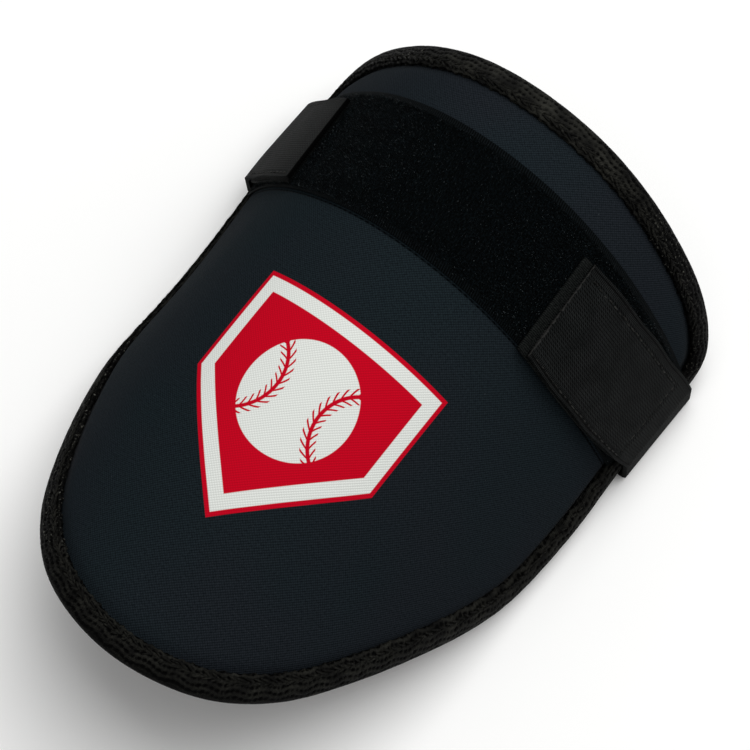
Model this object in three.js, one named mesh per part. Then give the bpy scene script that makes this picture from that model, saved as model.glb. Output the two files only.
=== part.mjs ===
// Batter's elbow guard: a deep trough of knit-covered foam with a bound edge, a band of loop tape
// across its crown, and an elastic strap whose two hook-faced ends press onto that band.
// Millimetres. X runs across the guard, Y along the arm towards the strap end, Z up from the
// surface that the guard rests on.
import * as THREE from 'three';

// Cross-section of the pad's outer face: three arcs that follow each other down from the crown line
const sectionArcs = [
  { radius: 48, length: 30 },
  { radius: 77, length: 25 },
  { radius: 136, length: 85 },
];

// The crown line, a shallow arc that falls away towards both ends
const crownHeight = 83.4;
const bowRadius = 480;
const bowTop = 47.5;

// Half of the flat pattern, from the tip to the strap end: the distance round the section from the
// crown line, and the place along the arm
const outline = [
  { around: 0, along: -97 },
  { around: 27, along: -91.1 },
  { around: 50, along: -76.6 },
  { around: 68.5, along: -58.4 },
  { around: 85, along: -40.2 },
  { around: 101.5, along: -21 },
  { around: 116, along: 1.5 },
  { around: 122, along: 27.5 },
  { around: 121, along: 54 },
  { around: 117, along: 76 },
  { around: 113, along: 84 },
  { around: 101, along: 90 },
  { around: 83, along: 93.4 },
  { around: 54, along: 95.1 },
  { around: 27, along: 96.2 },
  { around: 0, along: 96.5 },
];
const outlineSteps = 96;
const rimTrimBlend = 6;
const patternCentre = 27.5;
const ringsPerFace = 9;

// Elastic strap: tab ends are places round the section, centre lines are places along the arm
const strap = {
  width: 30.6,
  thickness: 1.5,
  rightEnd: 40.7,
  leftEnd: -56,
  foldStart: 106,
  foldRadius: 3.9,
  foldOffset: 0.2,
  rightEndAlong: 52.2,
  rightFoldAlong: 61.1,
  leftFoldAlong: 60.9,
  leftEndAlong: 54.1,
};
const rimClearance = 0.7;
const strapRoom = strap.thickness + rimClearance;
const strapRoomEase = 6;

// Wall of the pad from the middle of a face to the edge: how far in from the pattern's edge, and how
// far out from the section's outer face. The edge is sewn flat inside the binding.
const padFaceInset = 14;
const padEdge = [
  { inset: 14, lift: 0 },
  { inset: 9.6, lift: -0.3 },
  { inset: 8.1, lift: -1.2 },
  { inset: 3.1, lift: -1.2 },
  { inset: 2, lift: -1.8 },
  { inset: 1.5, lift: -2.8 },
  { inset: 1.5, lift: -4.2 },
  { inset: 2, lift: -5.2 },
  { inset: 3.1, lift: -5.8 },
  { inset: 8.1, lift: -5.8 },
  { inset: 9.6, lift: -7 },
  { inset: 14, lift: -8 },
];

// Binding tape folded over the edge: a U of tape, outside first and then back along the inside
const bindingFace = 7.6;
const bindingSection = [
  { inset: bindingFace, lift: 0.3 },
  { inset: 2.5, lift: 0.3 },
  { inset: 0.8, lift: -0.5 },
  { inset: 0, lift: -2.2 },
  { inset: 0, lift: -4.8 },
  { inset: 0.8, lift: -6.5 },
  { inset: 2.5, lift: -7.3 },
  { inset: bindingFace, lift: -7.3 },
  { inset: bindingFace, lift: -6.1 },
  { inset: 3, lift: -6.1 },
  { inset: 1.7, lift: -5.4 },
  { inset: 1.2, lift: -4.4 },
  { inset: 1.2, lift: -2.6 },
  { inset: 1.7, lift: -1.6 },
  { inset: 3, lift: -0.9 },
  { inset: bindingFace, lift: -0.9 },
];
const rimLowestLift = -4.8;

// Loop tape across the crown, with a flat selvedge along each side of the pile
const seam = 0.3;
const loopBand = { along: 56.2, width: 38.2, halfLength: 105, selvedge: 1.4, tape: 0.7, pile: 1.6 };

// Hook tape under each tab
const hook = { width: 31.2, thickness: 1.2, rightStart: 36.3, leftStart: -54.8, end: 98 };
const hookLift = seam + loopBand.pile + seam;
const strapLift = hookLift + hook.thickness + seam;

// Place and slope of the section at a distance round it from the crown line
function sectionAt(around) {
  const side = Math.sign(around);
  let left = Math.abs(around);
  let slope = 0;
  let x = 0;
  let z = 0;
  for (const arc of sectionArcs) {
    const turn = Math.min(left, arc.length) / arc.radius;
    x += arc.radius * (Math.sin(slope + turn) - Math.sin(slope));
    z += arc.radius * (Math.cos(slope + turn) - Math.cos(slope));
    slope += turn;
    left -= turn * arc.radius;
  }
  return { x: side * x, z, slope: side * slope };
}

function bowDrop(along) {
  return bowRadius - Math.sqrt(bowRadius ** 2 - (along - bowTop) ** 2);
}

// A point of the guard: round the section, along the arm, and out from the outer face
function onGuard(around, along, lift) {
  const { x, z, slope } = sectionAt(around);
  const fall = (along - bowTop) / Math.sqrt(bowRadius ** 2 - (along - bowTop) ** 2);
  const normal = new THREE.Vector3(Math.sin(slope), fall * Math.cos(slope), Math.cos(slope)).normalize();
  return new THREE.Vector3(x, along, crownHeight + z - bowDrop(along)).addScaledVector(normal, lift);
}

// Height of the rims above the resting surface: none, but room for the strap where it passes under
function rimHeight(along) {
  const middle = (strap.leftFoldAlong + strap.rightFoldAlong) / 2;
  const reach = Math.abs(along - middle) - strap.width / 2;
  return strapRoom * (1 - THREE.MathUtils.smoothstep(reach, 1.5, 1.5 + strapRoomEase));
}

// How far round the section the wall goes before the rim meets its height
function rimReach(along) {
  let low = 60;
  let high = 135;
  for (let step = 0; step < 30; step += 1) {
    const middle = (low + high) / 2;
    const tooLow = onGuard(middle, along, rimLowestLift).z < rimHeight(along);
    if (tooLow) high = middle;
    else low = middle;
  }
  return low;
}

// The lesser of two lengths, rounded off where they meet
function softMin(first, second, blend) {
  const near = Math.max(blend - Math.abs(first - second), 0) / blend;
  return Math.min(first, second) - near * near * blend / 4;
}

// The closed edge of the flat pattern, trimmed to the resting surface
function patternEdge() {
  const oneSide = outline.map(({ around, along }) => new THREE.Vector3(around, along, 0));
  const otherSide = outline.slice(1, -1).reverse().map(({ around, along }) => new THREE.Vector3(-around, along, 0));
  const curve = new THREE.CatmullRomCurve3([...oneSide, ...otherSide], true, 'centripetal');
  curve.arcLengthDivisions = 1200;
  const points = curve.getSpacedPoints(outlineSteps).slice(0, outlineSteps);
  return points.map((point) => {
    const around = softMin(Math.abs(point.x), rimReach(point.y), rimTrimBlend);
    return new THREE.Vector2(Math.sign(point.x) * around, point.y);
  });
}

const edge = patternEdge();

// The pattern's edge moved in by an even distance
function insetEdge(inset) {
  return edge.map((point, index) => {
    const before = edge[(index + outlineSteps - 1) % outlineSteps];
    const after = edge[(index + 1) % outlineSteps];
    const run = after.clone().sub(before).normalize();
    return new THREE.Vector2(point.x - run.y * inset, point.y + run.x * inset);
  });
}

function ringAt({ inset, lift }) {
  return insetEdge(inset).map((point) => onGuard(point.x, point.y, lift));
}

// A ring inside a face of the pad, shrunk towards the pattern's centre
function faceRing(share, lift) {
  return insetEdge(padFaceInset).map((point) => {
    const along = patternCentre + (point.y - patternCentre) * share;
    return onGuard(point.x * share, along, lift);
  });
}

function solid(points, triangles) {
  const geometry = new THREE.BufferGeometry();
  geometry.setAttribute('position', new THREE.Float32BufferAttribute(points.flatMap((p) => [p.x, p.y, p.z]), 3));
  geometry.setIndex(triangles.flat());
  geometry.computeVertexNormals();
  return geometry;
}

// Triangles between two neighbouring rings of equal count
function ringWall(triangles, first, second, count) {
  for (let step = 0; step < count; step += 1) {
    const next = (step + 1) % count;
    triangles.push([first + step, second + step, second + next]);
    triangles.push([first + step, second + next, first + next]);
  }
}

// A body of rings with a point at each end
function domedSolid(firstPole, rings, lastPole) {
  const points = [firstPole, ...rings.flat(), lastPole];
  const count = rings[0].length;
  const last = points.length - 1;
  const triangles = [];
  for (let step = 0; step < count; step += 1) {
    const next = (step + 1) % count;
    triangles.push([0, 1 + step, 1 + next]);
    triangles.push([last, last - count + next, last - count + step]);
  }
  for (let ring = 0; ring + 1 < rings.length; ring += 1) {
    ringWall(triangles, 1 + ring * count, 1 + (ring + 1) * count, count);
  }
  return solid(points, triangles);
}

// A body of rings whose last ring joins the first
function loopSolid(rings) {
  const count = rings[0].length;
  const triangles = [];
  rings.forEach((_, ring) => {
    ringWall(triangles, ring * count, ((ring + 1) % rings.length) * count, count);
  });
  return solid(rings.flat(), triangles);
}

// A strip swept through closed sections, with a flat end at each end
function stripSolid(sections) {
  const count = sections[0].length;
  const half = count / 2;
  const last = (sections.length - 1) * count;
  const triangles = [];
  for (let section = 0; section + 1 < sections.length; section += 1) {
    ringWall(triangles, section * count, (section + 1) * count, count);
  }
  for (let step = 0; step + 1 < half; step += 1) {
    const back = count - 1 - step;
    triangles.push([step, step + 1, back - 1], [step, back - 1, back]);
    triangles.push([last + step, last + back - 1, last + step + 1], [last + step, last + back, last + back - 1]);
  }
  return solid(sections.flat(), triangles);
}

function padGeometry() {
  const shares = Array.from({ length: ringsPerFace - 1 }, (_, ring) => (ring + 1) / ringsPerFace);
  const outerLift = padEdge[0].lift;
  const innerLift = padEdge[padEdge.length - 1].lift;
  const rings = [
    ...shares.map((share) => faceRing(share, outerLift)),
    ...padEdge.map(ringAt),
    ...shares.toReversed().map((share) => faceRing(share, innerLift)),
  ];
  return domedSolid(onGuard(0, patternCentre, outerLift), rings, onGuard(0, patternCentre, innerLift));
}

function bindingGeometry() {
  return loopSolid(bindingSection.map(ringAt));
}

// The loop tape's closed section: its flat back, and its front with a step up from each selvedge
function loopBandGeometry() {
  const half = loopBand.width / 2;
  const pileEdge = half - loopBand.selvedge;
  const tapeTop = seam + loopBand.tape;
  const pileTop = seam + loopBand.pile;
  const front = [
    { across: -half, lift: tapeTop },
    { across: -pileEdge, lift: tapeTop },
    { across: -pileEdge + 0.8, lift: pileTop },
    { across: -pileEdge / 3, lift: pileTop },
    { across: pileEdge / 3, lift: pileTop },
    { across: pileEdge - 0.8, lift: pileTop },
    { across: pileEdge, lift: tapeTop },
    { across: half, lift: tapeTop },
  ];
  const back = front.toReversed().map(({ across }) => ({ across, lift: seam }));
  const steps = 44;
  const sections = Array.from({ length: steps + 1 }, (_, step) => {
    const around = loopBand.halfLength * (2 * step / steps - 1);
    return [...front, ...back].map(({ across, lift }) => onGuard(around, loopBand.along + across, lift));
  });
  return stripSolid(sections);
}

// Centre line of a tab, from its end at share 0 to the fold at share 1
function tabCentre(around, end, endAlong, foldAlong) {
  const share = (around - end) / (Math.sign(end) * strap.foldStart - end);
  const slant = (foldAlong - endAlong) / (strap.foldStart - Math.abs(end));
  return { along: endAlong + share * (foldAlong - endAlong), slant: Math.sign(end) * slant * (1 - share) };
}

const rightTab = (around) => tabCentre(around, strap.rightEnd, strap.rightEndAlong, strap.rightFoldAlong);
const leftTab = (around) => tabCentre(around, strap.leftEnd, strap.leftEndAlong, strap.leftFoldAlong);

// One section of a strip that lies on the guard, cut square to the tab's slant
const acrossColumns = [-1, -0.5, 0, 0.5, 1];
function tabSection(around, tab, width, lift, thickness) {
  const { along, slant } = tab(around);
  const at = (share, height) => {
    const across = share * width / 2;
    return onGuard(around - slant * across, along + across, height);
  };
  const top = acrossColumns.map((share) => at(share, lift + thickness));
  const bottom = acrossColumns.toReversed().map((share) => at(share, lift));
  return [...top, ...bottom];
}

// Sections of the strap round one fold, from the tab down to the flat run under the hollow
function foldSections(side, along) {
  const { x, z, slope } = sectionAt(strap.foldStart);
  const middleLift = strapLift + strap.thickness / 2;
  const wall = new THREE.Vector2(x + middleLift * Math.sin(slope), crownHeight + z + middleLift * Math.cos(slope));
  const centre = new THREE.Vector2(wall.x + strap.foldOffset - strap.foldRadius, strap.thickness / 2 + strap.foldRadius);
  const steps = 7;
  return Array.from({ length: steps + 1 }, (_, step) => {
    const turn = (Math.PI / 2) * (step / steps);
    const out = new THREE.Vector2(Math.cos(turn), -Math.sin(turn));
    const bow = (1 - step / steps) ** 2;
    const at = (share, shift) => {
      const y = along + share * strap.width / 2;
      const radius = strap.foldRadius + shift;
      return new THREE.Vector3(side * (centre.x + out.x * radius), y, centre.y + out.y * radius - bow * bowDrop(y));
    };
    const top = acrossColumns.map((share) => at(share, strap.thickness / 2));
    const bottom = acrossColumns.toReversed().map((share) => at(share, -strap.thickness / 2));
    return [...top, ...bottom];
  });
}

function strapGeometry() {
  const tabSteps = (end, count) => Array.from({ length: count + 1 }, (_, step) => {
    return end + (Math.sign(end) * strap.foldStart - end) * (step / count);
  });
  const sectionsOn = (end, count, tab) => tabSteps(end, count).map((around) => {
    return tabSection(around, tab, strap.width, strapLift, strap.thickness);
  });
  return stripSolid([
    ...sectionsOn(strap.rightEnd, 14, rightTab),
    ...foldSections(1, strap.rightFoldAlong),
    ...foldSections(-1, strap.leftFoldAlong).toReversed(),
    ...sectionsOn(strap.leftEnd, 8, leftTab).toReversed(),
  ]);
}

function hookGeometry(start, tab, steps) {
  const end = Math.sign(start) * hook.end;
  const places = Array.from({ length: steps + 1 }, (_, step) => start + (end - start) * (step / steps));
  const ordered = start < 0 ? places.toReversed() : places;
  return stripSolid(ordered.map((around) => tabSection(around, tab, hook.width, hookLift, hook.thickness)));
}

const knit = new THREE.MeshStandardMaterial({ color: '#24292d', roughness: 0.9, metalness: 0 });
const bindingTape = new THREE.MeshStandardMaterial({ color: '#17171a', roughness: 0.75, metalness: 0 });
const loopTape = new THREE.MeshStandardMaterial({ color: '#0d1112', roughness: 1, metalness: 0 });
const elastic = new THREE.MeshStandardMaterial({ color: '#17181a', roughness: 0.8, metalness: 0 });
const hookTape = new THREE.MeshStandardMaterial({ color: '#141416', roughness: 0.7, metalness: 0 });

const pieces = [
  { name: 'guard_pad', geometry: padGeometry(), material: knit },
  { name: 'edge_binding', geometry: bindingGeometry(), material: bindingTape },
  { name: 'loop_band', geometry: loopBandGeometry(), material: loopTape },
  { name: 'elastic_strap', geometry: strapGeometry(), material: elastic },
  { name: 'hook_patch_right', geometry: hookGeometry(hook.rightStart, rightTab, 14), material: hookTape },
  { name: 'hook_patch_left', geometry: hookGeometry(hook.leftStart, leftTab, 8), material: hookTape.clone() },
];

const elbowGuard = new THREE.Group();
for (const { name, geometry, material } of pieces) {
  const mesh = new THREE.Mesh(geometry, material);
  mesh.name = name;
  elbowGuard.add(mesh);
}

export default elbowGuard;
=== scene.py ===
"""Looks of a batter's elbow guard: knit-covered foam, bound edge, loop tape and elastic strap.

Fields that hold sizes are in millimetres, as on a cutting ticket. Meshes are in metres, in the
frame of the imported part. A place on the guard is given as three lengths: round the section from
the crown line, along the arm, and out from the cover's face.
"""
import logging
import math
from dataclasses import dataclass
from enum import Enum

import bpy
import numpy as np
from mathutils import Matrix, Vector


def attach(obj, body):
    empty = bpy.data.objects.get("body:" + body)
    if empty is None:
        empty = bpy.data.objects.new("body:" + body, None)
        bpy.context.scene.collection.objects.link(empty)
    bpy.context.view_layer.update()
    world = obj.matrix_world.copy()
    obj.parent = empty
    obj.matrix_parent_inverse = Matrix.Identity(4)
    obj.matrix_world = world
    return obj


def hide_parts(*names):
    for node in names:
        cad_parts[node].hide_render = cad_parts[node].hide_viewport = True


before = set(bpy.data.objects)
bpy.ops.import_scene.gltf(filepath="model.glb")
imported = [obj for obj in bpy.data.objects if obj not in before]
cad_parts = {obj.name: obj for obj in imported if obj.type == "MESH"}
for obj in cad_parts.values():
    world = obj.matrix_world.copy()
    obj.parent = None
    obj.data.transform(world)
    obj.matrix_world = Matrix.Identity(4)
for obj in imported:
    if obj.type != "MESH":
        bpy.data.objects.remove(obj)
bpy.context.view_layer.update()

LOG = logging.getLogger("elbow_guard")
MM = 0.001
SEED = 7
BODY = "root"
RELIEF = "weave_relief"
# The binding's painted light and shade, carried on its mesh as an attribute.
PAINTED_SHADING_ATTRIBUTE = "binding_painted_shading"
MERGE_GAP = 2e-6
SHARP_EDGE = math.radians(50)
NOISE_DETAIL = 2.5
CORNER_CUTS = 3
SHAPE_DIGITS = 5

# Two limits or lengths, three numbers of one spot, and a small shape's points and faces
Span = tuple[float, float]
Spot = tuple[float, float, float]
Shape = tuple[np.ndarray, list[tuple[int, ...]]]
Socket = bpy.types.NodeSocket


class Side(Enum):
    """The two ends of the strap."""

    RIGHT = 1
    LEFT = -1


def srgb(code: str) -> tuple[float, float, float, float]:
    """Turn an sRGB hex colour into linear RGBA.

    Args:
        code: six hex digits after a hash.

    Returns:
        The linear colour with full alpha.
    """
    parts = [int(code[i:i + 2], 16) / 255 for i in (1, 3, 5)]
    linear = [p / 12.92 if p <= 0.04045 else ((p + 0.055) / 1.055) ** 2.4 for p in parts]
    return (*linear, 1.0)


def add_node(tree: bpy.types.NodeTree, kind: str, *values: object, **settings: object) -> Socket:
    """Add a shader node, set it and link it.

    Args:
        tree: the node tree that gets the node.
        kind: the node's type, without its ShaderNode prefix.
        values: what its open inputs get in order: a number, a colour or another node's output.
        settings: the node's own properties.

    Returns:
        The node's first open output, or None where it has none.
    """
    node = tree.nodes.new("ShaderNode" + kind)
    for name, value in settings.items():
        setattr(node, name, value)
    for socket, value in zip([s for s in node.inputs if s.enabled], values):
        if isinstance(value, Socket):
            tree.links.new(value, socket)
        else:
            socket.default_value = value
    return next((s for s in node.outputs if s.enabled), None)


def unit(vectors: np.ndarray) -> np.ndarray:
    """Scale vectors to a length of one."""
    return vectors / np.linalg.norm(vectors, axis=-1, keepdims=True)


def eased(share: np.ndarray) -> np.ndarray:
    """Ease a share from 0 to 1 in and out."""
    return share * share * (3 - 2 * share)


def travel(line: np.ndarray) -> np.ndarray:
    """Give how far along a line each of its points lies."""
    return np.concatenate([[0], np.cumsum(np.linalg.norm(np.diff(line, axis=0), axis=1))])


@dataclass(frozen=True)
class Arc:
    """One arc of the guard's cross-section."""

    radius: float
    length: float


@dataclass(frozen=True)
class GuardForm:
    """The moulded trough that every piece lies on."""

    arcs: tuple[Arc, ...] = (Arc(48, 30), Arc(77, 25), Arc(136, 85))
    crown_height: float = 83.4
    bow_radius: float = 480
    bow_top: float = 47.5
    dent: float = 2.2
    dent_at: Span = (-97, 12)
    dent_reach: Span = (35, 42)

    def section(self, around: np.ndarray) -> tuple[np.ndarray, np.ndarray, np.ndarray]:
        """Find the cross-section's x, z and slope.

        Args:
            around: lengths round the section from the crown line.

        Returns:
            x, z below the crown, and slope in radians, one each per length.
        """
        left = np.abs(np.asarray(around, float))
        x, z, slope = np.zeros_like(left), np.zeros_like(left), np.zeros_like(left)
        for arc in self.arcs:
            run = np.clip(left, 0, arc.length)
            turned = slope + run / arc.radius
            x += arc.radius * (np.sin(turned) - np.sin(slope))
            z += arc.radius * (np.cos(turned) - np.cos(slope))
            slope = turned
            left = left - run
        side = np.sign(around)
        return side * x, z, side * slope

    def bow_drop(self, along: np.ndarray) -> np.ndarray:
        """Give how far the crown line has fallen at a place along the arm."""
        return self.bow_radius - np.sqrt(self.bow_radius ** 2 - (along - self.bow_top) ** 2)

    def normal(self, around: np.ndarray, along: np.ndarray) -> np.ndarray:
        """Find which way the cover's face looks.

        Args:
            around: lengths round the section.
            along: lengths along the arm.

        Returns:
            The outward normals, with x, y and z last.
        """
        slope = self.section(around)[2]
        reach = along - self.bow_top
        fall = reach / np.sqrt(self.bow_radius ** 2 - reach ** 2)
        return unit(np.stack([np.sin(slope), fall * np.cos(slope), np.cos(slope)], axis=-1))

    def dented(self, around: np.ndarray, along: np.ndarray) -> np.ndarray:
        """Find how far the foam of the left wall is pressed in near its rim.

        Args:
            around: lengths round the section.
            along: lengths along the arm.

        Returns:
            The depth at each place.
        """
        aside = np.clip(np.abs(around - self.dent_at[0]) / self.dent_reach[0], 0, 1)
        ahead = np.clip(np.abs(along - self.dent_at[1]) / self.dent_reach[1], 0, 1)
        return self.dent * (1 - aside ** 2) ** 2 * (1 - ahead ** 2) ** 2

    def place(self, around: np.ndarray, along: np.ndarray, lift: np.ndarray) -> np.ndarray:
        """Place points on the guard.

        Args:
            around: lengths round the section.
            along: lengths along the arm.
            lift: heights out from the cover's face.

        Returns:
            The points in millimetres, with x, y and z last.
        """
        lengths = (np.asarray(v, float) for v in (around, along, lift))
        around, along, lift = np.broadcast_arrays(*lengths)
        x, z, _ = self.section(around)
        face = np.stack([x, along, self.crown_height + z - self.bow_drop(along)], axis=-1)
        return face + self.normal(around, along) * (lift - self.dented(around, along))[..., None]


FORM = GuardForm()


@dataclass(frozen=True)
class Tab:
    """How one tab of the strap lies, from its free end to its fold."""

    end: float
    end_along: float
    end_width: float
    end_skew: float
    hook_start: float
    hook_skew: float
    fold_along: float
    fold_width: float
    fold_offset: float
    belly: float
    hug: float
    sewn_all_round: bool


@dataclass(frozen=True)
class StrapRoute:
    """Where the elastic strap's two tabs lie on the guard."""

    width: float = 30.6
    thickness: float = 1.5
    lift: float = 3.7
    bite: float = 0.7
    bite_gap: float = 6
    bite_ease: float = 18
    fold_start: float = 106
    ease: float = 2.2
    right: Tab = Tab(
        end=39.4, end_along=52.1, end_width=32.0, end_skew=-0.065, hook_start=36.85, hook_skew=-0.06,
        fold_along=59.2, fold_width=30.9, fold_offset=0.2, belly=1.9, hug=0, sewn_all_round=True,
    )
    left: Tab = Tab(
        end=-56.2, end_along=54.3, end_width=30.3, end_skew=-0.15, hook_start=-58.5, hook_skew=-0.15,
        fold_along=59.1, fold_width=29.4, fold_offset=-0.8, belly=0.4, hug=0.5, sewn_all_round=False,
    )

    def tab(self, side: Side) -> Tab:
        """Give the tab on one side."""
        return self.right if side is Side.RIGHT else self.left

    def share(self, around: np.ndarray, side: Side) -> np.ndarray:
        """Give how much of the way from a tab's end to its fold a place has gone."""
        end = self.tab(side).end
        return (around - end) / (side.value * self.fold_start - end)

    def width_at(self, around: np.ndarray, side: Side) -> np.ndarray:
        """Find a tab's width, which swells a little in its middle.

        Args:
            around: lengths round the section.
            side: which tab.

        Returns:
            The width at each place.
        """
        tab = self.tab(side)
        share = self.share(around, side)
        straight = tab.end_width + share * (tab.fold_width - tab.end_width)
        return straight + 4 * tab.belly * share * (1 - share)

    def centre_line(self, around: np.ndarray, side: Side) -> np.ndarray:
        """Find where a tab's centre line lies.

        Args:
            around: lengths round the section.
            side: which tab.

        Returns:
            Lengths along the arm.
        """
        tab = self.tab(side)
        bent = np.clip(self.share(around, side), 0, 1) ** self.ease
        return tab.end_along + (tab.fold_along - tab.end_along) * bent

    def sunk(self, around: np.ndarray, side: Side) -> np.ndarray:
        """Find how far a tab lies in: it hugs the guard, and its hooks pull it into the pile.

        Args:
            around: lengths round the section.
            side: which tab.

        Returns:
            The depth at each place, least near the fold.
        """
        from_fold = self.fold_start - self.bite_gap - np.abs(around)
        return self.tab(side).hug + self.bite * eased(np.clip(from_fold / self.bite_ease, 0, 1))

    def flat_place(self, around: np.ndarray, across: np.ndarray,
                   side: Side) -> tuple[np.ndarray, np.ndarray]:
        """Turn a place on a tab into lengths round the section and along the arm."""
        return np.broadcast_arrays(around, self.centre_line(around, side) + across)


ROUTE = StrapRoute()


@dataclass(frozen=True)
class TapeCourse:
    """How the loop tape lies: across the crown, and curling on the walls as straight tape does."""

    along: float = 56.2
    width: float = 38.2
    tip_curl: float = 2.9
    strap_curl: float = 1.0
    curl_at: float = 100
    curl_power: float = 2.6

    def place(self, around: np.ndarray, across: np.ndarray) -> np.ndarray:
        """Find where on the arm a place on the tape lies.

        Args:
            around: lengths round the section.
            across: lengths across the tape from its middle.

        Returns:
            Lengths along the arm.
        """
        share = across / self.width + 0.5
        curl = self.tip_curl + (self.strap_curl - self.tip_curl) * share
        return self.along + across + curl * (np.abs(around) / self.curl_at) ** self.curl_power


COURSE = TapeCourse()


def spread(line: np.ndarray, count: int, closed: bool = False) -> tuple[np.ndarray, float]:
    """Space points evenly along a line.

    Args:
        line: the line's points, one row each.
        count: how many points to give.
        closed: whether the line goes back to its first point, which isn't given twice.

    Returns:
        The points, and the line's length.
    """
    whole = np.vstack([line, line[:1]]) if closed else line
    travelled = travel(whole)
    stops = np.linspace(0, travelled[-1], count, endpoint=not closed)
    points = np.stack([np.interp(stops, travelled, column) for column in whole.T], axis=1)
    return points, float(travelled[-1])


def rounded(corners: tuple[Span, ...], count: int) -> np.ndarray:
    """Round a polyline's corners off, by cutting them again and again, and space points along it.

    Args:
        corners: the polyline's corners.
        count: how many points to give.

    Returns:
        The points, one row each.
    """
    line = np.array(corners, float)
    for _ in range(CORNER_CUTS):
        start, end = line[:-1], line[1:]
        cut = np.stack([start * 0.75 + end * 0.25, start * 0.25 + end * 0.75], axis=1)
        line = np.vstack([line[:1], cut.reshape(-1, 2), line[-1:]])
    return spread(line, count)[0]


@dataclass(frozen=True)
class Pattern:
    """The flat pattern that the cover is cut to, mirrored about the crown line."""

    half: tuple[Span, ...] = (
        (0, -97), (27, -91.1), (50, -76.6), (68.5, -58.4), (85, -40.2), (101.5, -21), (116, 1.5),
        (122, 27.5), (121, 54), (117, 76), (113, 84), (101, 90), (83, 93.4), (54, 95.1), (27, 96.2),
        (0, 96.5),
    )
    span_points: int = 60
    centre: float = 27.5
    trim_blend: float = 6
    strap_room: float = 2.2
    room_margin: float = 1.5
    room_ease: float = 20
    rim_lift: float = -4.8
    rim_between: Span = (60, 135)
    halvings: int = 30
    tape_room: float = 1.1
    softness: float = 4

    def rim_height(self, along: np.ndarray) -> np.ndarray:
        """Find the rim's height off the floor, with room for its binding and the strap under it.

        Args:
            along: lengths along the arm.

        Returns:
            The height at each place.
        """
        middle = (ROUTE.left.fold_along + ROUTE.right.fold_along) / 2
        past = np.abs(along - middle) - ROUTE.width / 2 - self.room_margin
        return self.tape_room + self.strap_room * (1 - eased(np.clip(past / self.room_ease, 0, 1)))

    def rim_reach(self, along: np.ndarray) -> np.ndarray:
        """Find by halving how far round the section the wall goes before it meets the rim's height.

        Args:
            along: lengths along the arm.

        Returns:
            Lengths round the section.
        """
        low, high = (np.full_like(along, float(limit)) for limit in self.rim_between)
        for _ in range(self.halvings):
            middle = (low + high) / 2
            under = FORM.place(middle, along, self.rim_lift)[..., 2] < self.rim_height(along)
            high = np.where(under, middle, high)
            low = np.where(under, low, middle)
        return low

    def drawn(self) -> np.ndarray:
        """Draw the centripetal spline through the mirrored half pattern.

        Returns:
            Rows of lengths round the section and along the arm.
        """
        right = np.array(self.half, float)
        knots = np.concatenate([right, right[-2:0:-1] * (-1, 1)])
        p0, p1, p2, p3 = (np.roll(knots, shift, axis=0) for shift in (1, 0, -1, -2))
        d0, d1, d2 = (np.linalg.norm(b - a, axis=1, keepdims=True) ** 0.5
                      for a, b in ((p0, p1), (p1, p2), (p2, p3)))
        leave = d1 * ((p1 - p0) / d0 - (p2 - p0) / (d0 + d1) + (p2 - p1) / d1)
        arrive = d1 * ((p2 - p1) / d1 - (p3 - p1) / (d1 + d2) + (p3 - p2) / d2)
        t = np.linspace(0, 1, self.span_points, endpoint=False)[None, :, None]
        spans = ((2 * t ** 3 - 3 * t ** 2 + 1) * p1[:, None] + (t ** 3 - 2 * t ** 2 + t) * leave[:, None]
                 + (3 * t ** 2 - 2 * t ** 3) * p2[:, None] + (t ** 3 - t ** 2) * arrive[:, None])
        return spans.reshape(-1, 2)

    def softened(self, loop: np.ndarray, length: float, reach: float) -> np.ndarray:
        """Even out a closed loop's bends.

        Args:
            loop: evenly spaced points.
            length: the loop's length.
            reach: how far along the loop a bend is shared out.

        Returns:
            The evened points.
        """
        turns = np.fft.fftfreq(len(loop), length / len(loop))
        keep = np.exp(-2 * (np.pi * turns * reach) ** 2)[:, None]
        return np.fft.ifft(np.fft.fft(loop, axis=0) * keep, axis=0).real

    def edge(self, count: int) -> tuple[np.ndarray, np.ndarray, float]:
        """Space points evenly round the trimmed edge.

        Args:
            count: how many points.

        Returns:
            The points, their inward directions, and the edge's length.
        """
        loop = self.drawn()
        reach = self.rim_reach(loop[:, 1])
        size = np.abs(loop[:, 0])
        near = np.clip(self.trim_blend - np.abs(size - reach), 0, None) / self.trim_blend
        trimmed = np.minimum(size, reach) - near ** 2 * self.trim_blend / 4
        loop[:, 0] = np.sign(loop[:, 0]) * trimmed
        even, length = spread(loop, 2 * count, closed=True)
        points, length = spread(self.softened(even, length, self.softness), count, closed=True)
        calm = self.softened(points, length, 2 * self.softness)
        run = unit(np.roll(calm, -1, axis=0) - np.roll(calm, 1, axis=0))
        return points, np.stack([-run[:, 1], run[:, 0]], axis=1), length


PATTERN = Pattern()


def newly_added(name: str) -> bpy.types.Object:
    """Name the object that an operator has just added.

    Args:
        name: the object's name, which its mesh gets too.

    Returns:
        The object.
    """
    piece = bpy.context.view_layer.objects.active
    piece.name = name
    piece.data.name = name
    return piece


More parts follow.
